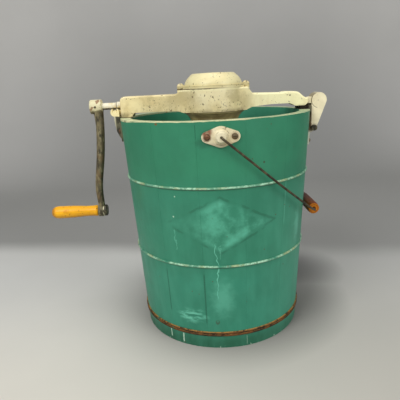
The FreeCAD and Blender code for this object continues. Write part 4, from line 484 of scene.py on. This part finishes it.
def wire_paint():
    """Green hoop wire, rubbed pale with a painted highlight on its top, rusty with painted shade
    underneath.
    """
    wall = Wall("wire_paint")
    up = wall.up()
    along = wall.noise(34.0, 4.0, vector=wall.unrolled)
    fine = wall.noise(170.0, 4.0, 0.6)
    # wear and a painted highlight: the upward faces are painted pale
    worn_lit_crown = wall.step(up, *CROWN_WEAR_AND_HIGHLIGHT_UP)
    pale = wall.mix(wall.step(fine, 0.42, 0.60), WIRE_WORN, WIRE_PALE)
    base = wall.mix(wall.times(worn_lit_crown, wall.step(along, 0.30, 0.56)), GREEN, pale)
    gold_and_highlight = wall.times(worn_lit_crown, wall.patches(36.0, 0.50, 0.62, rough=0.6, vector=wall.unrolled))
    base = wall.lay(base, WIRE_GOLD, gold_and_highlight, 0.6)
    # rust and painted shade: the downward faces are painted dark
    below = wall.times(wall.step(up, *BELOW_RUST_AND_SHADE_UP), wall.patches(50.0, 0.34, 0.54))
    base = wall.lay(base, DARK_RUST_AND_SHADE, below, 0.85)
    base = wall.lay(base, GRIME_AND_SHADE, wall.times(worn_lit_crown, wall.step(fine, 0.63, 0.68)), 0.7)
    normal = wall.bump(wall.noise(220.0), 0.0004, 0.5)
    return wall.surface(base, wall.blend(along, 0.30, 0.55), normal)


def rusty_wire():
    """The bottom hoop: mostly rust, with gold rust and a painted highlight along the tops of its
    wires.
    """
    wall = Wall("rusty_wire")
    base = wall.mix(wall.patches(60.0, 0.38, 0.66, 5.0, 0.62), HOOP_DARK, HOOP_RUST)
    # gold rust and a painted highlight on the upward faces, stronger on the upper wire
    gold_and_highlight = wall.times(wall.step(wall.up(), *RUST_AND_HIGHLIGHT_UP), wall.patches(140.0, 0.38, 0.56))
    upper_wire = wall.blend(wall.step(wall.z, *UPPER_WIRE_Z), 0.35, 0.85)
    base = wall.lay(base, HOOP_GOLD_AND_HIGHLIGHT, gold_and_highlight, upper_wire)
    elsewhere = wall.shift(wall.unrolled, (3.0, 1.0, 0.0))
    base = wall.lay(base, GREEN, wall.patches(40.0, 0.60, 0.66, vector=elsewhere), 0.5)
    normal = wall.bump(wall.noise(260.0, 4.0), 0.0005, 0.8)
    return wall.surface(base, 0.66, normal, specular=0.3)


# ---- painted castings ----
FRAME_STAIN = colour(182, 166, 116)
# Painted light: the frame is painted paler towards the latch.
FRAME_PAINTED_LIGHT_X = (0.048, 0.082)
FRAME_SIDE_Z = (SEAM_Z - 0.008, SEAM_Z - 0.025)
FRAME_LOWER_Z = (RIM_Z + 0.012, RIM_Z + 0.004)
# A painted highlight along the lip just under the seam.
FRAME_LIP_HIGHLIGHT_Z = SEAM_Z - 0.0022
FRAME_SEAM_Z = (SEAM_Z - 0.0004, SEAM_Z + 0.0006)
# Painted shade on the foot's sole where it sits on the rim and on the downward faces.
FRAME_SHADE_SOLE_Z = (RIM_Z + 0.0020, RIM_Z + 0.0008)
FRAME_SHADE_SOLE_X = (-0.140, -0.146)
FRAME_SHADE_UNDER_UP = (-0.3, -0.8)

COVER_CLEAN = colour(228, 218, 168)
COVER_LIGHT = colour(240, 228, 174)
COVER_STAIN = colour(196, 182, 134)
COVER_SEAM_Z = (SEAM_Z + 0.0019, SEAM_Z + 0.0011)
COVER_GROOVE_Z = SEAM_Z + 0.0042
SEAM_X = (0.030, -0.010)

EAR_CLEAN = colour(234, 227, 196)
EAR_LIGHT = colour(248, 244, 220)
EAR_SHADED = colour(150, 140, 112)
EAR_SCREW_RUST = colour(112, 72, 42)
EAR_EDGE_RUST = colour(126, 66, 38)
EAR_SCREW_X = 0.021
EAR_SCREW_RUST_REACH = (0.0085, 0.0055)
EAR_CRANK_SIDE_X = (0.005, -0.005)
EAR_EDGE_X = (-0.010, -0.017)
EAR_EDGE_HEIGHT = (0.001, 0.006)
EAR_SHADED_HEIGHT = (-0.006, -0.013)
EAR_RING_R = 0.0128
EAR_INNER_RING_R = 0.0088

LATCH_CLEAN = colour(248, 238, 200)
LATCH_DIRTY = colour(216, 204, 164)
LATCH_LIGHT = colour(254, 248, 224)
# Painted shade: a dark line round the latch's head.
LATCH_CREASE_SHADE_R = LATCH_HEAD_R + 0.0003
LATCH_CREASE_SHADE_ASIDE = (-0.002, -0.005)
LATCH_RUST_Z = (LATCH_PIN_Z + 0.016, LATCH_PIN_Z + 0.005)

HINGE_DARK = colour(52, 50, 34)
HINGE_WORN = colour(110, 108, 82)
HINGE_EDGE = colour(214, 208, 178)
HINGE_X = -0.1825
HINGE_EDGE_X = (HINGE_X + 0.0015, HINGE_X - 0.0005)
HINGE_EDGE_Z = (0.372, 0.380)
HINGE_PAINT_Z = (RIM_Z + 0.0025, RIM_Z + 0.0035)

LATCH_EAR_DARK = colour(50, 42, 30)
LATCH_EAR_WORN = colour(96, 82, 58)
LATCH_EAR_PALE = colour(206, 204, 186)
# Painted shadow on the ledge under the latch's tongue.
LEDGE_SHADOW = colour(26, 20, 12)
LUG_GREY = colour(120, 116, 92)
LATCH_EAR_PALE_Z = (LATCH_PIN_Z + 0.001, LATCH_PIN_Z - 0.005)
LEDGE_Z = (RIM_Z - 0.0055, RIM_Z - 0.0035)
LUG_X = (0.170, 0.175)


def cream_layers(paint, clean, dirty, light, chip_level):
    """Yellowed cream gloss with stains, pinholes and chips down to the iron."""
    base = paint.lay(clean, dirty, paint.patches(22.0, 0.36, 0.68, rough=0.6, bend=0.4), 0.75)
    base = paint.lay(base, light, paint.patches(11.0, 0.48, 0.70, 3.0), 0.55)
    base = paint.lay(base, GRIME_AND_SHADE, paint.pits(240.0, 0.660, 28.0), 0.75)
    chips = paint.patches(75.0, chip_level, chip_level + 0.03, rough=0.62)
    return paint.lay(base, DARK_RUST_AND_SHADE, chips, 0.8)


def casting_bump(paint):
    """Fine grit over broad lumps."""
    lumps = paint.add(paint.noise(130.0, 4.0, 0.6), paint.times(paint.noise(35.0), 1.5))
    return paint.bump(lumps, 0.0008, 0.55)


def painted_casting(paint, base, scale, smooth, rough):
    """The base on a lumpy casting, with its gloss in patches."""
    return paint.surface(base, paint.blend(paint.noise(scale), smooth, rough), casting_bump(paint))


def seam_grime(paint, base, x, height, seam_z):
    """A line of dirt on one side of the seam under the dome."""
    seam = paint.times(paint.step(height, *seam_z), paint.step(x, *SEAM_X))
    return paint.lay(base, GRIME_AND_SHADE, seam, 0.85)


def frame_paint():
    """The gear frame: cream with pits and brown runs, darker low down, with painted light towards
    the latch and painted shade beneath.
    """
    paint = Paint("frame_paint")
    x, _, z = paint.split(paint.place)
    # painted light: the frame is painted paler towards the latch
    painted_light_latch_end = paint.step(x, *FRAME_PAINTED_LIGHT_X)
    base = cream_layers(paint, CREAM, CREAM_DIRTY, CREAM_LIGHT, 0.70)
    base = paint.lay(base, CREAM_PAINTED_LIGHT, painted_light_latch_end, 0.92)
    stains = paint.patches(27.0, 0.45, 0.64, 5.0, 0.62)
    base = paint.lay(base, FRAME_STAIN, stains, paint.blend(painted_light_latch_end, 0.55, 0.12))
    pits = paint.either(paint.pits(175.0, 0.640, 22.0), paint.pits(330.0, 0.650, 34.0))
    base = paint.lay(base, PIT, pits, 0.85)
    runs = paint.patches(60.0, 0.44, 0.70, vector=paint.stretch(paint.place, (1.0, 1.0, 0.22)))
    base = paint.lay(base, CREAM_DIRTY, paint.times(runs, paint.step(z, *FRAME_SIDE_Z)), 0.45)
    lower = paint.times(paint.step(z, *FRAME_LOWER_Z), paint.patches(50.0, 0.40, 0.60))
    base = paint.lay(base, GRIME_AND_SHADE, lower, 0.55)
    # painted highlight along the lip just under the seam
    base = paint.lay(base, CREAM_PAINTED_LIGHT, paint.near(z, FRAME_LIP_HIGHLIGHT_Z, 0.0018, 0.0008), 0.5)
    wavering = paint.add(z, paint.times(paint.noise(90.0), 0.002))
    base = seam_grime(paint, base, x, wavering, FRAME_SEAM_Z)
    # painted shade: the downward faces and the foot's sole on the rim are painted dark
    shade_on_sole = paint.times(paint.step(z, *FRAME_SHADE_SOLE_Z), paint.step(x, *FRAME_SHADE_SOLE_X))
    under = paint.step(paint.up(), *FRAME_SHADE_UNDER_UP)
    base = paint.mix(paint.either(paint.times(under, 0.6), paint.times(shade_on_sole, 0.9)), base, GRIME_AND_SHADE)
    return painted_casting(paint, base, 30.0, 0.34, 0.55)


def cover_paint():
    """The dome: stained and pitted cream, with a line of dirt along its seam."""
    paint = Paint("cover_paint")
    x, _, z = paint.split(paint.place)
    base = cream_layers(paint, COVER_CLEAN, CREAM_DIRTY, COVER_LIGHT, 0.72)
    base = paint.lay(base, COVER_STAIN, paint.patches(32.0, 0.48, 0.64, 5.0, 0.62), 0.35)
    pits = paint.either(paint.pits(200.0, 0.650, 26.0), paint.pits(360.0, 0.665, 30.0))
    base = paint.lay(base, PIT, pits, 0.8)
    wavering = paint.add(z, paint.times(paint.noise(70.0, 4.0), 0.0016))
    base = seam_grime(paint, base, x, wavering, COVER_SEAM_Z)
    base = paint.lay(base, GRIME_AND_SHADE, paint.near(z, COVER_GROOVE_Z, 0.0010, 0.0003), 0.4)
    return painted_casting(paint, base, 30.0, 0.32, 0.52)


def ear_paint():
    """The bail ears: off-white, rusty round the screws and along one edge, with two grooves."""
    paint = Paint("ear_paint")
    x, _, z = paint.split(paint.place)
    height = paint.minus(z, EAR_Z)
    base = cream_layers(paint, EAR_CLEAN, CREAM_DIRTY, EAR_LIGHT, 0.71)
    from_screw = paint.reach(paint.away(paint.math("ABSOLUTE", x), EAR_SCREW_X), height)
    ragged = paint.add(from_screw, paint.sway(0.006, 120.0))
    strength = paint.blend(paint.step(x, *EAR_CRANK_SIDE_X), 0.30, 0.75)
    base = paint.lay(base, EAR_SCREW_RUST, paint.step(ragged, *EAR_SCREW_RUST_REACH), strength)
    edge = paint.times(paint.step(x, *EAR_EDGE_X), paint.step(height, *EAR_EDGE_HEIGHT))
    edge = paint.times(edge, paint.patches(90.0, 0.32, 0.48))
    base = paint.lay(base, EAR_EDGE_RUST, edge, 0.9)
    base = paint.lay(base, EAR_SHADED, paint.step(height, *EAR_SHADED_HEIGHT), 0.65)
    from_hub = paint.reach(x, height)
    outer = paint.near(from_hub, EAR_RING_R, 0.0009, 0.0003)
    inner = paint.times(paint.near(from_hub, EAR_INNER_RING_R, 0.0008, 0.0003), 0.6)
    grooves = paint.times(paint.either(outer, inner), paint.patches(75.0, 0.45, 0.58, 3.0))
    base = paint.lay(base, GRIME_AND_SHADE, grooves, 0.6)
    return painted_casting(paint, base, 40.0, 0.36, 0.56)


def latch_paint():
    """The latch: chalky cream, rusty round its bolt, with a line of painted shade beside its head.
    """
    paint = Paint("latch_paint")
    x, _, z = paint.split(paint.place)
    base = cream_layers(paint, LATCH_CLEAN, LATCH_DIRTY, LATCH_LIGHT, 0.73)
    wavering = paint.add(z, paint.times(paint.noise(60.0, 4.0), 0.012))
    base = paint.lay(base, DARK_RUST_AND_SHADE, paint.step(wavering, *LATCH_RUST_Z), 0.8)
    # painted shade: a dark line round the edge of the latch's head
    aside = paint.minus(x, LATCH_HEAD_X)
    from_head = paint.reach(aside, paint.minus(z, LATCH_HEAD_Z))
    crease_shade = paint.near(from_head, LATCH_CREASE_SHADE_R, 0.0008, 0.0002)
    crease_shade = paint.times(crease_shade, paint.step(aside, *LATCH_CREASE_SHADE_ASIDE))
    base = paint.lay(base, GRIME_AND_SHADE, crease_shade, 0.8)
    return painted_casting(paint, base, 30.0, 0.36, 0.58)


def hinge_ear_paint():
    """Dark worn iron that keeps some cream paint, most of it on its top."""
    paint = Paint("hinge_ear_paint")
    x, _, z = paint.split(paint.place)
    iron = paint.mix(paint.patches(55.0, 0.38, 0.62), HINGE_DARK, HINGE_WORN)
    iron = paint.lay(iron, RUST, paint.patches(34.0, 0.54, 0.66, bend=0.5), 0.35)
    edge = paint.times(paint.step(x, *HINGE_EDGE_X), paint.step(z, *HINGE_EDGE_Z))
    iron = paint.lay(iron, HINGE_EDGE, edge, 0.75)
    kept = paint.patches(42.0, 0.60, 0.65, rough=0.6)
    top = paint.step(paint.add(z, paint.sway(0.004, 80.0, 3.0)), *HINGE_PAINT_Z)
    base = paint.mix(paint.either(kept, top), iron, CREAM)
    return paint.surface(base, 0.58, casting_bump(paint))


def latch_ear_paint():
    """The latch's ear: its ledge painted near black as shadow, a grey lug, pale paint left on the
    plate's lower half.
    """
    paint = Paint("latch_ear_paint")
    x, _, z = paint.split(paint.place)
    iron = paint.mix(paint.patches(50.0, 0.40, 0.60), LATCH_EAR_DARK, LATCH_EAR_WORN)
    # painted shadow: the ledge under the latch's tongue is painted near black
    ledge = paint.step(z, *LEDGE_Z)
    iron = paint.lay(iron, LEDGE_SHADOW, ledge, 0.9)
    iron = paint.lay(iron, LUG_GREY, paint.times(paint.step(x, *LUG_X), ledge), 0.7)
    wavering = paint.add(z, paint.times(paint.noise(70.0, 4.0), 0.008))
    base = paint.mix(paint.step(wavering, *LATCH_EAR_PALE_Z), iron, LATCH_EAR_PALE)
    base = paint.lay(base, DARK_RUST_AND_SHADE, paint.patches(80.0, 0.60, 0.64), 0.6)
    return paint.surface(base, 0.7, casting_bump(paint), specular=0.15)


# ---- bare and rusty metal ----
SCREW_DARK = colour(66, 44, 26)
SCREW_RUST = colour(118, 78, 46)
SCREW_OLIVE = colour(96, 84, 54)
SCREW_CREAM = colour(232, 218, 168)
BOLT_DARK = colour(42, 38, 24)
BOLT_OLIVE = colour(98, 92, 68)
BOLT_RUBBED = colour(168, 160, 134)
# A painted highlight on the handle bolt's riveted end.
BOLT_HIGHLIGHT = colour(226, 220, 184)
STEEL_DARK = colour(48, 42, 28)
STEEL_BROWN = colour(92, 82, 58)
STEEL_RUST = colour(104, 64, 34)
SHAFT_WHITE = colour(234, 228, 202)
SHAFT_BARE = colour(92, 84, 62)
ARM_DARK = colour(56, 50, 32)
ARM_OLIVE = colour(120, 110, 78)
ARM_SHADED = colour(50, 44, 28)
ARM_PALE = colour(158, 148, 112)
ARM_BROWN = colour(104, 74, 42)
ARM_CREAM = colour(222, 214, 172)
GEAR_DARK = colour(122, 106, 62)
GEAR_LIGHT = colour(158, 144, 92)
TIN_DARK = colour(150, 152, 148)
TIN_LIGHT = colour(186, 188, 182)

SCREW_OLIVE_X = (0.005, 0.010)
HANDLE_HEAD_X = -0.2245
BUSH_EDGE_X = BUSH_X + 0.0003
SHAFT_WHITE_Z = (SHAFT_Z - 0.0040, SHAFT_Z - 0.0022)
ARM_CREAM_Z = (SHAFT_Z - 0.008, SHAFT_Z - 0.003)
ARM_SHADED_FACING = (0.10, 0.75)


def rusty_screw():
    """The tub's screws and pivot plate: rusty on the crank's side, olive on the latch's."""
    paint = Paint("rusty_screw")
    x, _, _ = paint.split(paint.place)
    base = paint.mix(paint.patches(160.0, 0.38, 0.62), SCREW_DARK, SCREW_RUST)
    base = paint.lay(base, SCREW_OLIVE, paint.step(x, *SCREW_OLIVE_X), 0.7)
    return paint.surface(base, 0.62, paint.bump(paint.noise(420.0), 0.0004, 0.7))


def cream_screw():
    """The cover's screws: painted over, with grime in their slots and round their heads."""
    paint = Paint("cream_screw")
    base = cream_layers(paint, SCREW_CREAM, CREAM_DIRTY, CREAM_LIGHT, 0.68)
    base = paint.lay(base, GRIME_AND_SHADE, paint.patches(210.0, 0.52, 0.60, 3.0), 0.7)
    return paint.surface(base, 0.5, paint.bump(paint.noise(420.0), 0.0004, 0.6))


def olive_iron():
    """Bolts: dark olive iron, rubbed grey in places, with a painted highlight on the handle's
    riveted end.
    """
    paint = Paint("olive_iron")
    x, _, _ = paint.split(paint.place)
    base = paint.mix(paint.patches(120.0, 0.40, 0.62), BOLT_DARK, BOLT_OLIVE)
    base = paint.lay(base, BOLT_RUBBED, paint.patches(150.0, 0.60, 0.66, 3.0), 0.7)
    # painted highlight: a pale crescent round the handle bolt's rim
    bolt_highlight = paint.near(x, HANDLE_HEAD_X, 0.0016, 0.0006)
    bolt_highlight = paint.times(bolt_highlight, paint.patches(70.0, 0.40, 0.52, 3.0))
    base = paint.lay(base, BOLT_HIGHLIGHT, bolt_highlight, 0.85)
    return paint.surface(base, 0.5, paint.bump(paint.noise(420.0), 0.0004, 0.6), metallic=0.2)


def dark_steel():
    """Wire and pins: dull brown-grey steel with rust."""
    paint = Paint("dark_steel")
    base = paint.mix(paint.patches(90.0, 0.36, 0.64), STEEL_DARK, STEEL_BROWN)
    base = paint.lay(base, STEEL_RUST, paint.patches(40.0, 0.56, 0.64), 0.35)
    return paint.surface(base, 0.48, paint.bump(paint.noise(300.0), 0.0003, 0.6), metallic=0.35)


def shaft_paint():
    """The crank's shaft and bush: white paint on top, bare and dark beneath."""
    paint = Paint("shaft_paint")
    x, _, z = paint.split(paint.place)
    top = paint.step(paint.add(z, paint.sway(0.005, 90.0)), *SHAFT_WHITE_Z)
    painted = paint.mix(paint.patches(60.0, 0.42, 0.66), SHAFT_WHITE, CREAM_DIRTY)
    base = paint.mix(top, SHAFT_BARE, painted)
    base = paint.lay(base, RUST, paint.patches(85.0, 0.62, 0.66), 0.75)
    base = paint.lay(base, DARK_RUST_AND_SHADE, paint.near(x, BUSH_EDGE_X, 0.0011, 0.0004), 0.85)
    return paint.surface(base, 0.45, paint.bump(paint.noise(200.0), 0.0003, 0.5))


def crank_paint():
    """The arm: worn olive-brown and grey, with cream left on the hub's upper half."""
    paint = Paint("crank_paint")
    _, _, z = paint.split(paint.place)
    drawn = paint.stretch(paint.place, (1.0, 1.0, 0.45))
    cloud = paint.patches(130.0, 0.38, 0.60, 5.0, 0.66, drawn)
    base = paint.mix(cloud, ARM_DARK, ARM_OLIVE)
    latch_side = paint.step(paint.split(paint.facing)[0], *ARM_SHADED_FACING)
    base = paint.lay(base, ARM_SHADED, latch_side, 0.45)
    pale = paint.patches(150.0, 0.55, 0.64, rough=0.6, vector=drawn)
    base = paint.lay(base, ARM_PALE, pale, 0.55)
    base = paint.lay(base, ARM_BROWN, paint.patches(60.0, 0.55, 0.68), 0.45)
    hub = paint.step(paint.add(z, paint.sway(0.014, 70.0)), *ARM_CREAM_Z)
    base = paint.lay(base, ARM_CREAM, hub, 0.95)
    base = paint.lay(base, RUST, paint.times(hub, paint.patches(85.0, 0.55, 0.60)), 0.8)
    return paint.surface(base, paint.blend(cloud, 0.45, 0.62), casting_bump(paint))


def gear_iron():
    """Greasy brown iron of the gears."""
    paint = Paint("gear_iron")
    cloud = paint.patches(42.0, 0.36, 0.64, bend=0.5)
    base = paint.mix(cloud, GEAR_DARK, GEAR_LIGHT)
    return paint.surface(base, paint.blend(cloud, 0.35, 0.55), casting_bump(paint))


def tinned_sheet():
    """Dull tinplate with grey bloom and a few rust spots."""
    paint = Paint("tinned_sheet")
    bloom = paint.patches(20.0, 0.38, 0.66, 5.0)
    base = paint.mix(bloom, TIN_DARK, TIN_LIGHT)
    base = paint.lay(base, RUST, paint.spots(60.0, 0.2, 20.0), 0.6)
    return paint.surface(base, paint.blend(bloom, 0.30, 0.5), metallic=0.85)


# ---- wood: _TONES are light, middle and dark ----
ALONG_GRAIN = 0.06
CRANK_GRIP_TONES = (colour(255, 196, 34), colour(250, 172, 20), colour(188, 112, 16))
CRANK_GRIP_WORN = colour(150, 92, 34)
# Painted shade on the grip's underside.
CRANK_GRIP_SHADE_UNDER = colour(158, 96, 30)
CRANK_GRIP_SPECK = colour(120, 70, 24)
CRANK_GRIP_END_X = (CRANK_GRIP_X + 0.010, CRANK_GRIP_X + 0.002)
CRANK_GRIP_SHADE_UP = (0.1, -0.9)
BAIL_GRIP_TONES = (colour(178, 92, 22), colour(122, 56, 14), colour(62, 26, 8))
BAIL_GRIP_FAR = colour(64, 24, 10)
BAIL_GRIP_FACE = colour(206, 122, 22)
BAIL_GRIP_RING = colour(70, 34, 12)
BAIL_GRIP_RING_R = 0.0074
BAIL_GRIP_BORE_REACH = (0.0046, 0.0030)
BAIL_GRIP_FAR_Y = (-0.034, 0.020)
BAIL_GRIP_FACE_Y = (BAIL_GRIP_Y + 0.0016, BAIL_GRIP_Y + 0.0006)
PLAIN_TONES = (colour(214, 184, 136), colour(190, 156, 106), colour(140, 106, 66))


def turned_wood(name, axis, tones):
    """The start of a wood material, and its grain along one axis."""
    paint = Paint(name)
    light, middle, dark = tones
    factors = tuple(ALONG_GRAIN if letter == axis else 1.0 for letter in "xyz")
    along = paint.stretch(paint.place, factors)
    grain = paint.noise(170.0, 4.0, vector=along)
    base = paint.mix(paint.patches(30.0, 0.34, 0.66, vector=along), middle, light)
    base = paint.lay(base, dark, paint.step(grain, 0.52, 0.70), 0.5)
    base = paint.lay(base, dark, paint.patches(55.0, 0.60, 0.68), 0.45)
    return paint, base, grain


def crank_grip_wood():
    """Yellow-orange varnish, worn dark at its outer end, with painted shade underneath."""
    paint, base, grain = turned_wood("crank_grip_wood", "x", CRANK_GRIP_TONES)
    x, _, _ = paint.split(paint.place)
    base = paint.lay(base, CRANK_GRIP_WORN, paint.step(x, *CRANK_GRIP_END_X), 0.7)
    # painted shade on the grip's downward faces
    base = paint.lay(base, CRANK_GRIP_SHADE_UNDER, paint.step(paint.up(), *CRANK_GRIP_SHADE_UP), 0.6)
    base = paint.lay(base, CRANK_GRIP_SPECK, paint.patches(260.0, 0.66, 0.69, 2.0), 0.7)
    return paint.surface(base, 0.40, paint.bump(grain, 0.0002, 0.5), coat=0.1, specular=0.25)


def bail_grip_wood():
    """Orange-brown varnish, dark towards the back, with rings on its front face."""
    paint, base, grain = turned_wood("bail_grip_wood", "y", BAIL_GRIP_TONES)
    x, y, z = paint.split(paint.place)
    base = paint.lay(base, BAIL_GRIP_FAR, paint.step(y, *BAIL_GRIP_FAR_Y), 0.85)
    face = paint.step(y, *BAIL_GRIP_FACE_Y)
    base = paint.lay(base, BAIL_GRIP_FACE, face, 0.8)
    from_bore = paint.reach(paint.minus(x, BAIL_GRIP_X), paint.minus(z, BAIL_GRIP_Z))
    ring = paint.times(paint.near(from_bore, BAIL_GRIP_RING_R, 0.0010, 0.0004), 0.6)
    rings = paint.either(paint.step(from_bore, *BAIL_GRIP_BORE_REACH), ring)
    base = paint.lay(base, BAIL_GRIP_RING, paint.times(rings, face), 0.8)
    return paint.surface(base, 0.46, paint.bump(grain, 0.0002, 0.5), coat=0.05, specular=0.18)


def plain_wood():
    """Bare pale wood of the scrapers."""
    paint, base, grain = turned_wood("plain_wood", "z", PLAIN_TONES)
    return paint.surface(base, 0.6, paint.bump(grain, 0.0003, 0.5))


# ---- dressing the frame ----
RUSTY_FITTINGS = ["bail_ear_screws", "hinge_ear_screws", "latch_ear_screws", "can_pivot_plate"]
STEEL_PIECES = ["bail_wire", "crank_pin", "pinion_pin", "gear_retainer", "scraper_pins"]
TIN_PIECES = ["can_body", "can_bottom", "can_lid", "inner_beater", "dasher_frame", "dasher_stem"]


def dress(nodes):
    """Give every node of the frame its material."""
    staves = [name for name in nodes if name.startswith("stave_")]
    wardrobe = (
        (tub_paint(), staves + ["tub_bottom"]),
        (wire_paint(), ["upper_hoop", "middle_hoop"]),
        (rusty_wire(), ["bottom_hoop"]),
        (frame_paint(), ["gear_frame"]),
        (cover_paint(), ["gear_cover"]),
        (ear_paint(), ["bail_ear_front", "bail_ear_rear"]),
        (latch_paint(), ["latch"]),
        (hinge_ear_paint(), ["hinge_ear"]),
        (latch_ear_paint(), ["latch_ear"]),
        (rusty_screw(), RUSTY_FITTINGS),
        (cream_screw(), ["cover_screws"]),
        (olive_iron(), ["latch_pin", "handle_bolt"]),
        (dark_steel(), STEEL_PIECES),
        (shaft_paint(), ["crank_shaft", "shaft_bush"]),
        (crank_paint(), ["crank_arm"]),
        (gear_iron(), ["lower_gear", "upper_gear", "drive_pinion", "lid_driver"]),
        (tinned_sheet(), TIN_PIECES),
        (crank_grip_wood(), ["crank_grip"]),
        (bail_grip_wood(), ["bail_grip"]),
        (plain_wood(), ["scraper_left", "scraper_right"]),
    )
    for material, names in wardrobe:
        for name in names:
            mesh = nodes[name].data
            mesh.materials.clear()
            mesh.materials.append(material)
    dressed = {name for _, names in wardrobe for name in names}
    missing = sorted(set(nodes) - dressed)
    if missing:
        raise ValueError("nodes without a material: " + ", ".join(missing))


# ---- floor and backdrop ----
FLOOR_NEAR = colour(212, 208, 197)
FLOOR_MIDDLE = colour(204, 204, 200)
FLOOR_FAR = colour(150, 150, 147)
FLOOR_SHADE = colour(30, 29, 32)
# Painted light on the wall: darker low down, lighter upwards and towards its sides.
WALL_LOW = colour(148, 148, 146)
WALL_HIGH = colour(194, 193, 190)
WALL_SIDE_LIGHT = colour(255, 253, 248)

STAGE_HALF = 8.0
STAGE_TOP = 5.0
SWEEP_Y = 1.1
SWEEP_R = 0.7
SWEEP_STEPS = 12

FLOOR_MIDDLE_Y = (-0.35, 0.25)
FLOOR_TURN_Y = (0.250, 0.380)
FLOOR_TURN_SLANT = 0.16
WALL_HIGH_Z = (0.02, 1.1)
WALL_MIDDLE_X = 0.1
WALL_SIDE_LIGHT_REACH = (0.45, 1.30)
WALL_START_Y = (0.8, 1.6)

FOOT_SHADE_PLACE = (0.045, 0.04)
FOOT_SHADE_REACH = (0.38, 0.13)
BACK_SHADE_PLACE = (0.15, 0.17)
BACK_SHADE_REACH = (0.24, 0.04)
SIDE_SHADE_X = (-0.25, 0.35)


def floor_shade(paint, x, y):
    """The soft shade round the tub's foot, behind it, and on the latch's side of the floor."""
    def round_point(place, reach):
        u, v = (paint.minus(value, at) for value, at in zip((x, y), place))
        return paint.step(paint.reach(u, v), *reach)

    foot = round_point(FOOT_SHADE_PLACE, FOOT_SHADE_REACH)
    behind = round_point(BACK_SHADE_PLACE, BACK_SHADE_REACH)
    return paint.either(
        paint.times(paint.times(foot, foot), 0.60),
        paint.times(behind, 0.75),
        paint.times(paint.step(x, *SIDE_SHADE_X), 0.25),
    )


def backdrop_paint():
    """A matt pale floor with painted shade, darker beyond a soft turn, that goes over into a grey
    wall with painted light towards its top and sides.
    """
    paint = Paint("backdrop")
    x, y, z = paint.split(paint.place)
    near = paint.mix(paint.step(y, *FLOOR_MIDDLE_Y), FLOOR_NEAR, FLOOR_MIDDLE)
    near = paint.mix(floor_shade(paint, x, y), near, FLOOR_SHADE)
    slanted = paint.add(y, paint.times(x, FLOOR_TURN_SLANT))
    turn = paint.step(paint.add(slanted, paint.sway(0.05, 3.0, 2.0)), *FLOOR_TURN_Y)
    ground = paint.mix(turn, near, FLOOR_FAR)
    # painted light: the wall is darker low down and lighter upwards and towards its sides
    wall = paint.mix(paint.step(z, *WALL_HIGH_Z), WALL_LOW, WALL_HIGH)
    side = paint.step(paint.away(x, WALL_MIDDLE_X), *WALL_SIDE_LIGHT_REACH)
    wall = paint.lay(wall, WALL_SIDE_LIGHT, side, 0.26)
    base = paint.mix(paint.step(y, *WALL_START_Y), ground, wall)
    base = paint.lay(base, FLOOR_FAR, paint.patches(2.2, 0.30, 0.70, rough=0.5), 0.12)
    return paint.surface(base, 0.8, specular=0.2)


def backdrop():
    """A floor that sweeps up into a wall behind the object."""
    profile = [(-STAGE_HALF, 0.0)]
    for step in range(SWEEP_STEPS + 1):
        angle = math.pi / 2 * step / SWEEP_STEPS
        profile.append((SWEEP_Y + SWEEP_R * math.sin(angle), SWEEP_R * (1 - math.cos(angle))))
    profile.append((SWEEP_Y + SWEEP_R, STAGE_TOP))
    points = [(x, y, z) for y, z in profile for x in (-STAGE_HALF, STAGE_HALF)]
    faces = [(2 * i, 2 * i + 1, 2 * i + 3, 2 * i + 2) for i in range(len(profile) - 1)]
    mesh = bpy.data.meshes.new("backdrop")
    mesh.from_pydata(points, [], faces)
    mesh.polygons.foreach_set("use_smooth", [True] * len(faces))
    mesh.materials.append(backdrop_paint())
    floor = bpy.data.objects.new("backdrop", mesh)
    bpy.context.scene.collection.objects.link(floor)


# ---- light and camera ----
WHITE = (1.0, 1.0, 1.0, 1.0)
WORLD_STRENGTH = 0.40
LIGHT_TARGET = Vector((0.0, 0.0, 0.25))
# Name, place, diameter and watts.
LIGHTS = (
    ("key", (-1.1, -1.4, 1.7), 1.2, 25.0),
    ("fill", (1.6, -1.7, 1.3), 1.6, 20.5),
    ("top", (0.0, 0.0, 2.2), 1.4, 11.0),
)


def studio():
    """An even white world and three soft round lights."""
    world = bpy.data.worlds.new("studio")
    world.use_nodes = True
    background = world.node_tree.nodes["Background"]
    background.inputs["Color"].default_value = WHITE
    background.inputs["Strength"].default_value = WORLD_STRENGTH
    bpy.context.scene.world = world
    for name, place, diameter, watts in LIGHTS:
        lamp = bpy.data.lights.new(name, "AREA")
        lamp.shape = "DISK"
        lamp.size = diameter
        lamp.energy = watts
        holder = bpy.data.objects.new(name, lamp)
        holder.location = place
        holder.rotation_euler = (LIGHT_TARGET - Vector(place)).to_track_quat("-Z", "Y").to_euler()
        bpy.context.scene.collection.objects.link(holder)


def camera():
    """The eye, with its axes from heading, pitch and roll."""
    ahead = math.cos(PITCH)
    forward = Vector((math.sin(YAW) * ahead, math.cos(YAW) * ahead, -math.sin(PITCH)))
    level = Vector((math.cos(YAW), -math.sin(YAW), 0.0))
    above = level.cross(forward)
    right = math.cos(ROLL) * level + math.sin(ROLL) * above
    up = -math.sin(ROLL) * level + math.cos(ROLL) * above
    data = bpy.data.cameras.new("camera")
    data.sensor_width = SENSOR_MM
    data.lens = SENSOR_MM * FOCAL_PIXELS / IMAGE_PIXELS
    eye = bpy.data.objects.new("camera", data)
    axes = Matrix((right, up, -forward)).transposed().to_4x4()
    eye.matrix_world = Matrix.Translation(EYE) @ axes
    bpy.context.scene.collection.objects.link(eye)
    bpy.context.scene.camera = eye


bpy.context.scene.view_settings.view_transform = "Standard"
dress(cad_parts)
backdrop()
studio()
camera()
